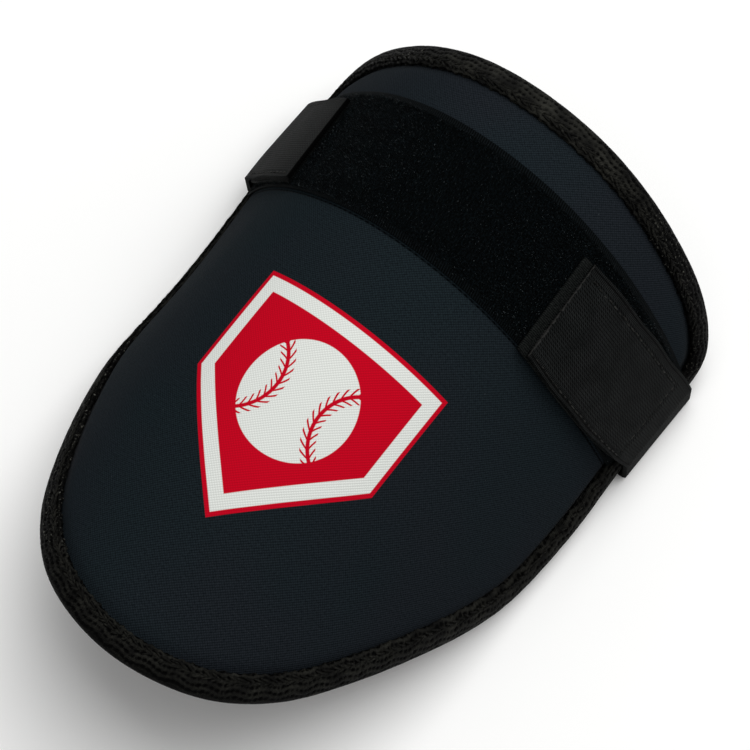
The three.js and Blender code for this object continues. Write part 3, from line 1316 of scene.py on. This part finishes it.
@dataclass
class CoverPad:
    """The foam pad in its knit cover."""

    steps: int = 420
    face_rings: int = 56
    lining_rings: int = 22
    face_inset: float = 16
    edge: tuple[Span, ...] = (
        (16, 0), (12, -0.02), (10, -0.2), (8.7, -0.55), (7.6, -1.0), (6.4, -1.25), (4.6, -1.25),
        (3.1, -1.25), (2.0, -1.8), (1.5, -2.8), (1.5, -4.2), (2.0, -5.2), (3.1, -5.8), (5.2, -5.8),
        (7.0, -6.0), (8.4, -6.6), (10, -7.4), (12, -7.9), (16, -8),
    )
    long_swell: float = 0.10
    long_waves: Span = (17, 23)
    long_starts: Span = (0.8, -0.4)
    short_swell: float = 0.04
    short_waves: Span = (7.3, 9.1)
    fill: float = 0.9

    def settle(self, around: np.ndarray, along: np.ndarray) -> np.ndarray:
        """Find the small unevenness of foam under a laminated cover, in long and short swells.

        Args:
            around: lengths round the section.
            along: lengths along the arm.

        Returns:
            The height at each place.
        """
        aside = np.sin(around / self.long_waves[0] + self.long_starts[0])
        ahead = np.sin(along / self.long_waves[1] + self.long_starts[1])
        short = np.sin(around / self.short_waves[0] + along / self.short_waves[1])
        return self.long_swell * (aside * ahead) + self.short_swell * short

    def build(self) -> None:
        """Form the pad: its face, the sewn edge, and the lining side."""
        points, inward, length = PATTERN.edge(self.steps)
        calm = PATTERN.softened(points, length, 3 * PATTERN.softness)
        centre = np.array([0, PATTERN.centre])
        rows, lifts = [], []
        loop = calm + inward * self.face_inset
        for share in np.linspace(0, 1, self.face_rings, endpoint=False):
            rows.append(centre + (loop - centre) * share)
            lifts.append(self.edge[0][1])
        for inset, lift in self.edge:
            rows.append(points + (calm - points) * (inset / self.face_inset) ** 2 + inward * inset)
            lifts.append(lift)
        for share in np.linspace(1, 0, self.lining_rings + 1)[1:]:
            rows.append(centre + (loop - centre) * share)
            lifts.append(self.edge[-1][1])
        flat = np.stack(rows)
        flat = np.concatenate([flat, flat[:, :1]], axis=1)
        around, along = flat[..., 0], flat[..., 1]
        lift = np.array(lifts)[:, None] + self.settle(around, along)
        piece = form_grid("knit_cover", FORM.place(around, along, lift), flat)
        turn_outward(piece)
        dress(piece, JerseyKnit().make(), "knit_covered_foam", "guard_pad")


@dataclass
class EdgeBinding:
    """Woven tape folded over the pad's edge and sewn through with a chain stitch.

    The face, lining and hidden lines of its section are rows of inset from the pad's edge and
    lift. Spots are rows of a place round the edge from 0 to 1, a reach and a height.
    """

    steps: int = 1400
    face_rows: int = 45
    lining_rows: int = 13
    hidden_rows: int = 5
    reach: float = 7.2
    face: tuple[Span, ...] = (
        (7.2, -0.75), (7.2, 0.2), (6.2, 0.85), (4.4, 1.25), (2.4, 1.15), (-0.1, 0.4), (-0.8, -1.7),
        (-0.8, -4.4),
    )
    lining: tuple[Span, ...] = (
        (-0.8, -4.8), (-0.1, -6.7), (2.4, -7.5), (4.2, -7.7), (6.2, -7.6), (7.2, -7.2), (7.2, -6.3),
    )
    hidden: tuple[Span, ...] = (
        (6.2, -6.1), (3, -6.1), (1.6, -5.2), (1.2, -3.5), (1.6, -1.8), (3, -1.0), (6.2, -0.95),
    )
    widest_at: float = 0.21
    widest_by: float = 2.4
    widest_rise: float = 1.0
    widest_reach: float = 0.1
    plump: tuple[Spot, ...] = ((0.325, 0.035, 1.1), (0.25, 0.04, 0.8))
    plump_depth: float = 4.0
    # Painted light and shade round the edge: spots of place, reach and amount; positive ones paint the
    # binding darker, the negative one at the top of the far end paints it lighter.
    painted_shading_spots: tuple[Spot, ...] = (
        (0.38, 0.05, 0.9), (0.62, 0.05, 0.9), (0.84, 0.04, 0.5), (0.92, 0.035, 0.4), (0.5, 0.05, -0.35),
    )
    knot: float = 1.75
    knot_rise: float = 0.5
    yarn_level: float = 0.8
    row: float = 1.7
    first_row: float = 0.4
    row_sway: float = 0.22
    sway_knots: float = 5.3
    knot_stray: float = 0.2
    stray_knots: float = 7
    stray_rows: float = 3
    slit: Span = (0.6, 0.42)
    slit_slant: float = 0.5
    slit_depth: Span = (0.5, 1.25)
    smooth_edge: float = 2.0
    smooth_share: float = 0.15
    scallop: float = 0.4
    scallop_reach: float = 2.4
    scallop_turns: int = 61
    scallop_shares: Span = (0.6, 0.4)
    chain_pitch: float = 2.7
    chain_inset: float = 1.5
    chain_lift: float = 1.0
    chain_spread: float = 0.5
    chain_slant: float = 0.38
    chain_leg: Spot = (0.33, 0.33, 1.7)
    spread_share: Span = (0.7, 1.3)
    lift_stray: float = 0.15
    slant_stray: float = 0.16
    leg_size: Span = (0.8, 1.2)

    def woven(self, across: np.ndarray, phase: np.ndarray, count: int) -> np.ndarray:
        """Draw the open weave: slits in staggered rows between plump yarns, no two alike.

        Args:
            across: lengths across the tape from its first edge, one per row.
            phase: turns of the weave, one per column.
            count: how many turns go round the whole edge.

        Returns:
            Rows by columns of relief, from 0 in a slit to 1 on a yarn.
        """
        sway = self.row_sway * np.sin(2 * np.pi * phase / self.sway_knots)[None]
        row = across[:, None] / self.row + self.first_row + sway
        which = np.floor(row).astype(int)
        turns = phase[None] / self.stray_knots + which / self.stray_rows
        stagger = phase[None] + 0.5 * which + self.knot_stray * np.sin(2 * np.pi * turns)
        depth = np.random.default_rng(SEED).uniform(*self.slit_depth, (which.max() + 1, count))
        aside = (row % 1 - 0.5) * self.row
        ahead = (stagger % 1 - 0.5) * self.knot + self.slit_slant * aside
        slit = np.exp(-(ahead / self.slit[0]) ** 2 - (aside / self.slit[1]) ** 2)
        return 1 - np.clip(slit * depth[which, np.floor(stagger).astype(int) % count], 0, 1)

    def swell(self, place: np.ndarray, spots: tuple[Spot, ...]) -> np.ndarray:
        """Give the height of soft spots at places round the edge."""
        return sum(height * np.exp(-((place - middle) / reach) ** 2) for middle, reach, height in spots)

    def fullness(self, place: np.ndarray) -> np.ndarray:
        """Give how full the tape was laid, from 0 to 1, at places round the edge."""
        return np.exp(-((place - self.widest_at) / self.widest_reach) ** 2)

    def section(self) -> tuple[np.ndarray, np.ndarray, int]:
        """Draw the tape's closed section.

        Returns:
            Its points, their outward directions, and how many of them show.
        """
        face = rounded(self.face, self.face_rows)
        shown = np.concatenate([face, rounded(self.lining, self.lining_rows)])
        whole = np.concatenate([shown, rounded(self.hidden, self.hidden_rows), shown[:1]])
        run = unit(np.gradient(shown, axis=0))
        out = np.zeros_like(whole)
        out[:len(shown)] = np.stack([run[:, 1], -run[:, 0]], axis=1)
        out[-1] = out[0]
        return whole, out, len(shown)

    def scalloped(self, across: np.ndarray, shown: int, phase: np.ndarray, knots: int) -> np.ndarray:
        """Draw the wavy lines of the tape's two sewn edges.

        Args:
            across: lengths across the tape, one per row.
            shown: how many rows show.
            phase: turns of the weave, one per column.
            knots: how many turns go round the whole edge.

        Returns:
            Rows by columns of how far the tape is drawn in.
        """
        from_edge = np.minimum(across, np.abs(across[shown - 1] - across))
        near = np.clip(1 - from_edge / self.scallop_reach, 0, 1)
        near[shown:-1] = 0
        turn = 2 * np.pi * phase / knots
        short, long = self.scallop_shares
        wave = short * np.cos(turn * round(knots / 2)) + long * np.cos(turn * self.scallop_turns)
        return near[:, None] * (self.scallop * wave)[None]

    def build(self) -> None:
        """Form the tape round the whole edge."""
        points, inward, length = PATTERN.edge(self.steps)
        section, out, shown = self.section()
        across = travel(section)
        travelled = np.arange(self.steps + 1) * length / self.steps
        place = travelled / length
        knots = round(length / self.knot)
        phase = travelled * knots / length
        weave = self.woven(across, phase, knots)
        weave[-1] = weave[0]
        weave[:, -1] = weave[:, 0]
        open_share = np.clip(section[:, :1] / self.smooth_edge, self.smooth_share, 1)
        rise = self.knot_rise * open_share * (weave - self.yarn_level)
        full = self.fullness(place)[None]
        inset = section[:, :1] * (1 + self.widest_by / self.reach * full) + out[:, :1] * rise
        inset += self.scalloped(across, shown, phase, knots)
        level = section[:, 1:]
        lift = level + np.clip(level, 0, None) * self.widest_rise * full + out[:, 1:] * rise
        lift += self.swell(place, self.plump)[None] * np.clip(1 + level / self.plump_depth, 0, 1)
        columns = np.arange(self.steps + 1) % self.steps
        flat = points[columns][None] + inward[columns][None] * inset[..., None]
        uv = np.stack(np.broadcast_arrays(travelled[None, :], across[:, None]), axis=-1)
        # Painted light and shade for the binding's colour, carried on the mesh.
        painted_shading = np.broadcast_to(self.swell(place, self.painted_shading_spots)[None], weave.shape)
        piece = form_grid("edge_binding_tape", FORM.place(flat[..., 0], flat[..., 1], lift), uv,
                          {RELIEF: weave, PAINTED_SHADING_ATTRIBUTE: painted_shading})
        turn_outward(piece)
        dress(piece, BindingWeave().make(), "binding_tape", "edge_binding")

    def sew(self) -> None:
        """Sew the chain stitch along the tape's inner edge, as pairs of slanted legs."""
        leg, faces = model_stitch(segments=7, rings=7, size=self.chain_leg)
        length = PATTERN.edge(self.steps)[2]
        count = round(length / self.chain_pitch)
        points, inward, _ = PATTERN.edge(count)
        full = self.fullness(np.arange(count) / count)
        draw = np.random.default_rng(SEED)
        copies = []
        for hand in (1, -1):
            aside_by = hand * self.chain_spread * draw.uniform(*self.spread_share, count)
            inset = self.reach + self.widest_by * full - self.chain_inset + aside_by
            flat = points + inward * inset[:, None]
            lift = self.chain_lift * (1 + self.widest_rise * full)
            lift += draw.uniform(-self.lift_stray, self.lift_stray, count)
            middle = FORM.place(flat[:, 0], flat[:, 1], lift)
            out = FORM.normal(flat[:, 0], flat[:, 1])
            ahead = unit(np.roll(middle, -1, axis=0) - np.roll(middle, 1, axis=0))
            aside = np.cross(out, ahead)
            slant = (-hand * self.chain_slant + draw.normal(0, self.slant_stray, count))[:, None]
            along = ahead * np.cos(slant) + aside * np.sin(slant)
            size = draw.uniform(*self.leg_size, count)[:, None]
            copies.append(lay_copies(leg, middle, size * np.cross(out, along), size * out, size * along))
        piece = join_copies("binding_chain_stitch", np.concatenate(copies), faces)
        dress(piece, BindingThread().make(), "binding_tape")


@dataclass
class HookPatches:
    """Hook tape sewn under each tab, woven side up."""

    rows: int = 70
    columns: int = 40
    proud: float = 0.15
    thickness: float = 1.2
    end: float = 98
    lift: float = 2.2
    edge_round: float = 0.3

    def build(self, side: Side) -> None:
        """Form one patch under its tab.

        Args:
            side: which tab.
        """
        tab = ROUTE.tab(side)
        share = np.linspace(0, 1, self.rows)[:, None]
        level = tab.hook_start + share * (side.value * self.end - tab.hook_start)
        width = ROUTE.width_at(level, side) + 2 * self.proud
        across = np.linspace(0.5, -0.5, self.columns)[None, ::side.value] * width
        around = level + tab.hook_skew * across * (1 - share)
        lift = self.lift + self.thickness - ROUTE.sunk(level, side)
        points = FORM.place(*ROUTE.flat_place(around, across, side), lift)
        name = side.name.lower()
        piece = form_grid(f"hook_tape_{name}", points, np.stack([around, across], axis=-1))
        thicken(piece, self.thickness, self.edge_round)
        turn_outward(piece)
        dress(piece, HookBacking().make(), "hook_tape", f"hook_patch_{name}")


@dataclass
class LoopTape:
    """The band of loop tape across the crown, with its pile."""

    rows: int = 260
    columns: int = 52
    half_length: float = 105
    tip_selvedge: float = 0.9
    strap_selvedge: float = 1.9
    ground: float = 0.8
    bed: float = 1.3
    bed_step: Span = (0.2, 0.5)
    thickness: float = 0.45
    edge_round: float = 0.15
    fibres: int = 19500
    spare: int = 3
    fibre_radius: float = 0.08
    fibre_tip: float = 0.35
    fibre_girth: Span = (0.7, 1.25)
    fibre_length: Span = (0.6, 1.35)
    fibre_bend: Span = (0.2, 1.7)
    rooted: float = 0.2
    tip_overhang: float = 0.7
    end_margin: float = 1
    tab_margin: float = 0.2
    hook_margin: float = 0.3
    swirl_around: float = 2.3
    swirl_along: float = 1.9
    swirl_slant: float = 3.1
    heading_stray: float = 1.1
    crushed_at: float = 2
    crushed_reach: float = 14
    crushed_share: float = 0.25

    def build_ground(self) -> None:
        """Form the woven ground, thin along its selvedges and raised under the pile."""
        half = COURSE.width / 2
        low, high = -half + self.tip_selvedge, half - self.strap_selvedge
        before, after = self.bed_step
        profile = rounded((
            (-half, self.ground), (low - before, self.ground), (low + after, self.bed), (0, self.bed),
            (high - after, self.bed), (high + before, self.ground), (half, self.ground),
        ), self.columns)
        around = np.linspace(-self.half_length, self.half_length, self.rows)[:, None]
        across = profile[None, ::-1, 0]
        points = FORM.place(around, COURSE.place(around, across), profile[None, ::-1, 1])
        uv = np.stack(np.broadcast_arrays(around, across), axis=-1)
        piece = form_grid("loop_tape_ground", points, uv)
        thicken(piece, self.thickness, self.edge_round)
        turn_outward(piece)
        dress(piece, LoopBacking().make(), "loop_tape", "loop_band")

    def uncovered(self, around: np.ndarray, across: np.ndarray) -> np.ndarray:
        """Find which places on the pile no tab covers.

        Args:
            around: lengths round the section.
            across: lengths across the tape.

        Returns:
            True for each bare place.
        """
        covered = np.zeros(len(around), bool)
        for side in Side:
            tab = ROUTE.tab(side)
            offset = COURSE.place(around, across) - ROUTE.centre_line(around, side)
            beyond = side.value * (around - tab.hook_skew * offset - tab.hook_start)
            within = np.abs(offset) < ROUTE.width_at(around, side) / 2 - self.tab_margin
            covered |= (beyond > self.hook_margin) & within & (side.value * around > 0)
        return ~covered

    def plant(self, draw: np.random.Generator) -> tuple[np.ndarray, np.ndarray]:
        """Draw where the fibres stand, off the places that the tabs cover.

        Args:
            draw: the random source.

        Returns:
            Lengths round the section and along the arm.
        """
        half = COURSE.width / 2
        end = self.half_length - self.end_margin
        around = draw.uniform(-end, end, self.spare * self.fibres)
        first = self.tip_selvedge * self.tip_overhang - half
        across = draw.uniform(first, half - self.strap_selvedge, self.spare * self.fibres)
        keep = np.flatnonzero(self.uncovered(around, across))[:self.fibres]
        return around[keep], COURSE.place(around[keep], across[keep])

    def model_fibre(self) -> Shape:
        """Model one fibre as a three-sided spike that can bend in its middle.

        Returns:
            Its points and its faces.
        """
        bpy.ops.object.select_all(action="DESELECT")
        bpy.ops.mesh.primitive_cone_add(vertices=3, radius1=1, radius2=self.fibre_tip, depth=1,
                                        location=(0, 0, 0.5))
        bpy.ops.object.mode_set(mode="EDIT")
        bpy.ops.mesh.bisect(plane_co=(0, 0, 0.5), plane_no=(0, 0, 1))
        bpy.ops.object.mode_set(mode="OBJECT")
        bpy.ops.object.transform_apply(location=True)
        return take_shape()

    def build_pile(self) -> None:
        """Plant the brushed loops as short bent fibres, with a piece for each half of the tape."""
        spike, faces = self.model_fibre()
        draw = np.random.default_rng(SEED)
        around, along = self.plant(draw)
        count = len(around)
        root = FORM.place(around, along, self.bed - self.rooted)
        up = FORM.normal(around, along)
        leant = np.sin(along / self.swirl_along + around / self.swirl_slant)
        swirl = np.pi * (np.sin(around / self.swirl_around) + leant)
        heading = (swirl + draw.normal(0, self.heading_stray, count))[:, None]
        level = unit(np.cross(up, (0, 1, 0)))
        lean = level * np.cos(heading) + np.cross(up, level) * np.sin(heading)
        wing = np.cross(up, lean)
        bend = draw.uniform(*self.fibre_bend, count)[:, None]
        from_end = self.half_length - self.crushed_at - np.abs(around)
        crushed = np.clip(from_end / self.crushed_reach, self.crushed_share, 1)
        length = (draw.uniform(*self.fibre_length, count) * crushed)[:, None]
        girth = self.fibre_radius * draw.uniform(*self.fibre_girth, count)[:, None]
        copies = np.empty((count, len(spike), 3))
        for index, (x, y, z) in enumerate(spike):
            turn = bend * z
            rise = up * np.sin(turn) / bend + lean * (1 - np.cos(turn)) / bend
            tilted = lean * np.cos(turn) - up * np.sin(turn)
            copies[:, index] = root + rise * length + (tilted * x + wing * y) * girth
        for side in Side:
            on_side = side.value * around > 0
            piece = join_copies(f"loop_tape_pile_{side.name.lower()}", copies[on_side], faces)
            dress(piece, LoopPile().make(), "loop_tape")


@dataclass
class ElasticStrap:
    """The elastic strap, from the long right tab round under the hollow to the short left tab."""

    columns: int = 72
    right_rows: int = 110
    left_rows: int = 84
    fold_rows: int = 14
    under_rows: int = 36
    end_step: float = 0.35
    edge_round: float = 0.3
    fold_radius: float = 2.0
    end_inset: float = 2.7
    tip_inset: float = 1.5
    strap_inset: float = 3.8
    stitched_to: float = 96
    groove: float = 0.3
    groove_width: float = 0.6
    lip: float = 0.4
    lip_rise: float = 0.2
    tooth: float = 0.2
    tooth_reach: float = 1.5
    waver: float = 0.012
    waver_length: float = 3.7
    waver_power: int = 4

    def shares(self) -> np.ndarray:
        """Give the columns' places as shares of the width, from the strap-end edge to the tip edge."""
        return np.linspace(0.5, -0.5, self.columns)[None, :]

    def pressed(self, around: np.ndarray, across: np.ndarray, side: Side) -> np.ndarray:
        """Find how far the sewn lines press a tab's face in.

        Args:
            around: lengths round the section.
            across: lengths across the tab.
            side: which tab.

        Returns:
            The depth at each place.
        """
        tab = ROUTE.tab(side)
        half = ROUTE.width_at(around, side) / 2
        from_first = side.value * (around - tab.end - tab.end_skew * across) - self.end_inset
        from_last = self.stitched_to - side.value * around
        past = np.clip(-np.minimum(from_first, from_last), 0, None)
        from_tip_line = across + half - self.tip_inset
        nearest = np.abs(from_tip_line) + past
        if tab.sewn_all_round:
            from_strap_line = across - half + self.strap_inset
            outside = np.clip(np.maximum(from_strap_line, -from_tip_line), 0, None)
            end_line = np.abs(from_last) + outside
            nearest = np.minimum(nearest, np.minimum(np.abs(from_strap_line) + past, end_line))
        return self.groove * np.exp(-(nearest / self.groove_width) ** 2)

    def tab(self, side: Side, count: int) -> np.ndarray:
        """Form a tab's face from its end to the fold, with its rows closest at the end.

        Args:
            side: which tab.
            count: how many rows.

        Returns:
            Rows by columns of places.
        """
        tab = ROUTE.tab(side)
        step = np.linspace(0, 1, count)[:, None]
        share = step * (self.end_step + (1 - self.end_step) * step)
        level = tab.end + share * (side.value * ROUTE.fold_start - tab.end)
        across = self.shares() * ROUTE.width_at(level, side)
        from_end = np.abs(level - tab.end)
        teeth = np.arange(self.columns)[None, :] % 2 * self.tooth
        bitten = side.value * teeth * np.clip(1 - from_end / self.tooth_reach, 0, 1)
        around = level + tab.end_skew * across * (1 - share) + bitten
        edge_share = np.abs(2 * self.shares()) ** self.waver_power
        wavered = across * (1 + self.waver * np.sin(level / self.waver_length) * edge_share)
        lift = ROUTE.lift + ROUTE.thickness - ROUTE.sunk(level, side) - self.pressed(around, across, side)
        lift += self.lip_rise * np.exp(-((from_end - self.lip) / self.lip) ** 2)
        return FORM.place(*ROUTE.flat_place(around, wavered, side), lift)

    def fold(self, side: Side) -> np.ndarray:
        """Form the outside of a fold, from the tab to the flat run.

        Args:
            side: which fold.

        Returns:
            Rows by columns of places.
        """
        tab = ROUTE.tab(side)
        x, _, slope = FORM.section(np.array(ROUTE.fold_start))
        wall = float(x) + (ROUTE.lift - tab.hug + ROUTE.thickness / 2) * math.sin(float(slope))
        centre_x = wall + tab.fold_offset - self.fold_radius
        centre_z = ROUTE.thickness / 2 + self.fold_radius
        along = tab.fold_along + tab.fold_width * self.shares()
        share = np.linspace(0, 1, self.fold_rows)[:, None]
        turn = share * np.pi / 2
        radius = self.fold_radius + ROUTE.thickness / 2
        height = centre_z - np.sin(turn) * radius - FORM.bow_drop(along) * (1 - share) ** 2
        x = side.value * (centre_x + np.cos(turn) * radius)
        return np.stack(np.broadcast_arrays(x, along, height), axis=-1)

    def build(self) -> None:
        """Form the strap in one run and give it its thickness."""
        right = np.concatenate([self.tab(Side.RIGHT, self.right_rows), self.fold(Side.RIGHT)])
        left = np.concatenate([self.tab(Side.LEFT, self.left_rows), self.fold(Side.LEFT)])[::-1]
        share = np.linspace(0, 1, self.under_rows)[1:-1, None, None]
        under = right[-1][None] * (1 - share) + left[0][None] * share
        points = np.concatenate([right, under, left])
        travelled = travel(points.mean(axis=1))
        uv = np.stack(np.broadcast_arrays(travelled[:, None], ROUTE.width * self.shares()), axis=-1)
        piece = form_grid("elastic_strap_webbing", points, uv)
        thicken(piece, ROUTE.thickness, self.edge_round)
        turn_outward(piece)
        finish = ElasticWeave(cut_at=float(travelled[-1]))
        dress(piece, finish.make(), "elastic_webbing", "elastic_strap")


STRAP = ElasticStrap()


@dataclass
class Stitching:
    """Lock stitches in black thread that hold the hook tape to the tabs."""

    pitch: float = 2.6
    length: float = 2.1
    length_share: Span = (0.6, 1.15)
    radius: float = 0.26
    sunk: float = 0.2
    stray: float = 0.15
    line_points: int = 60
    look_ahead: float = 0.4

    def sew(self, line: np.ndarray, normals: np.ndarray) -> tuple[np.ndarray, ...]:
        """Lay stitches along a line.

        Args:
            line: points along the line.
            normals: outward directions there.

        Returns:
            The stitches' middles, and their directions along, aside and out.
        """
        travelled = travel(line)
        count = max(1, int(travelled[-1] // self.pitch))
        stops = (np.arange(count) + 0.5) * travelled[-1] / count
        whole = np.concatenate([line, normals], axis=1)
        found = np.stack([np.interp(stops, travelled, column) for column in whole.T], axis=1)
        next_stops = stops + self.look_ahead
        ahead = np.stack([np.interp(next_stops, travelled, column) for column in line.T], axis=1)
        middle, out = found[:, :3], found[:, 3:]
        along = unit(ahead - middle)
        return middle, along, np.cross(out, along), out

    def tab_lines(self, side: Side) -> list[tuple[np.ndarray, np.ndarray]]:
        """Draw a tab's stitched lines: on three sides, or along the tip edge alone.

        Args:
            side: which tab.

        Returns:
            Each line's points and normals.
        """
        tab = ROUTE.tab(side)
        first, last = tab.end + side.value * STRAP.end_inset, side.value * STRAP.stitched_to
        corners = [(first, 0), (last, 0)]
        if tab.sewn_all_round:
            corners += [(last, 1), (first, 1)]
        lift = ROUTE.lift + ROUTE.thickness - self.sunk
        lines = []
        for (level_a, share_a), (level_b, share_b) in zip(corners, corners[1:]):
            level = np.linspace(level_a, level_b, self.line_points)
            low = STRAP.tip_inset - ROUTE.width_at(level, side) / 2
            high = ROUTE.width_at(level, side) / 2 - STRAP.strap_inset
            across = low + (high - low) * np.linspace(share_a, share_b, self.line_points)
            around = level + tab.end_skew * across * (1 - ROUTE.share(level, side))
            flat = ROUTE.flat_place(around, across, side)
            lines.append((FORM.place(*flat, lift - ROUTE.sunk(level, side)), FORM.normal(*flat)))
        return lines

    def build(self) -> None:
        """Sew every line with copies of one stitch."""
        size = (self.radius, self.radius, self.length / 2)
        stitch, faces = model_stitch(segments=7, rings=6, size=size)
        rows = [self.sew(*line) for side in Side for line in self.tab_lines(side)]
        middle, along, aside, out = (np.concatenate(parts) for parts in zip(*rows))
        draw = np.random.default_rng(SEED)
        middle = middle + aside * draw.normal(0, self.stray, (len(middle), 1))
        along = along * draw.uniform(*self.length_share, (len(middle), 1))
        piece = join_copies("sewn_stitches", lay_copies(stitch, middle, aside, out, along), faces)
        dress(piece, SewingThread().make(), "elastic_webbing")


@dataclass
class Studio:
    """Pale floor, soft light and the photograph's camera. Floor and softbox are in metres."""

    elevation: float = 72.0
    azimuth: float = 40.67
    roll: float = -2.02
    distance: float = 900
    target: Spot = (7.43, 8.99, 58.4)
    focal_pixels: float = 3263.4
    frame_pixels: int = 750
    sensor: float = 36.0
    floor_size: float = 6.0
    floor_colour: str = "#fafaf9"
    floor_roughness: float = 0.9
    softbox_watts: float = 24
    softbox_size: float = 1.5
    softbox_place: Spot = (0.05, 0.6, 1.45)
    room_colour: str = "#ffffff"
    room_glow: float = 0.39

    def floor(self) -> None:
        """Lay the floor."""
        bpy.ops.object.select_all(action="DESELECT")
        bpy.ops.mesh.primitive_plane_add(size=self.floor_size, location=(0, 0, 0))
        floor = newly_added("studio_floor")
        material = bpy.data.materials.new("matt_white_paper")
        material.use_nodes = True
        shader = material.node_tree.nodes["Principled BSDF"]
        shader.inputs["Base Color"].default_value = srgb(self.floor_colour)
        shader.inputs["Roughness"].default_value = self.floor_roughness
        floor.data.materials.append(material)

    def lights(self) -> None:
        """Hang a square softbox that faces the guard, and set the room's even glow."""
        lamp = bpy.data.lights.new("overhead_softbox", "AREA")
        lamp.energy = self.softbox_watts
        lamp.size = self.softbox_size
        holder = bpy.data.objects.new("overhead_softbox", lamp)
        holder.location = self.softbox_place
        holder.rotation_euler = (-Vector(self.softbox_place)).to_track_quat("-Z", "Y").to_euler()
        bpy.context.collection.objects.link(holder)
        world = bpy.data.worlds.new("studio_room")
        world.use_nodes = True
        back = world.node_tree.nodes["Background"]
        back.inputs["Color"].default_value = srgb(self.room_colour)
        back.inputs["Strength"].default_value = self.room_glow
        bpy.context.scene.world = world

    def camera(self) -> None:
        """Set the camera at the photograph's viewing angle and framing."""
        a, e, r = (math.radians(v) for v in (self.azimuth, self.elevation, self.roll))
        back = Vector((math.sin(a) * math.cos(e), -math.cos(a) * math.cos(e), math.sin(e)))
        level = Vector((math.cos(a), math.sin(a), 0))
        upright = back.cross(level)
        right = level * math.cos(r) + upright * math.sin(r)
        up = upright * math.cos(r) - level * math.sin(r)
        camera = bpy.data.objects.new("camera", bpy.data.cameras.new("camera"))
        place = (Vector(self.target) + back * self.distance) * MM
        turned = Matrix((right, up, back)).transposed().to_4x4()
        camera.matrix_world = Matrix.Translation(place) @ turned
        camera.data.sensor_width = self.sensor
        camera.data.lens = self.sensor * self.focal_pixels / self.frame_pixels
        bpy.context.collection.objects.link(camera)
        bpy.context.scene.camera = camera

    def build(self) -> None:
        """Set up the floor, the lights and the camera."""
        self.floor()
        self.lights()
        self.camera()
        bpy.context.scene.view_settings.view_transform = "Standard"


def main() -> None:
    """Build the guard's pieces and the studio."""
    logging.basicConfig(level=logging.INFO, format="%(name)s: %(message)s")
    CoverPad().build()
    binding = EdgeBinding()
    binding.build()
    binding.sew()
    tape = LoopTape()
    tape.build_ground()
    tape.build_pile()
    patches = HookPatches()
    for side in Side:
        patches.build(side)
    STRAP.build()
    Stitching().build()
    Studio().build()


if __name__ == "__main__":
    main()
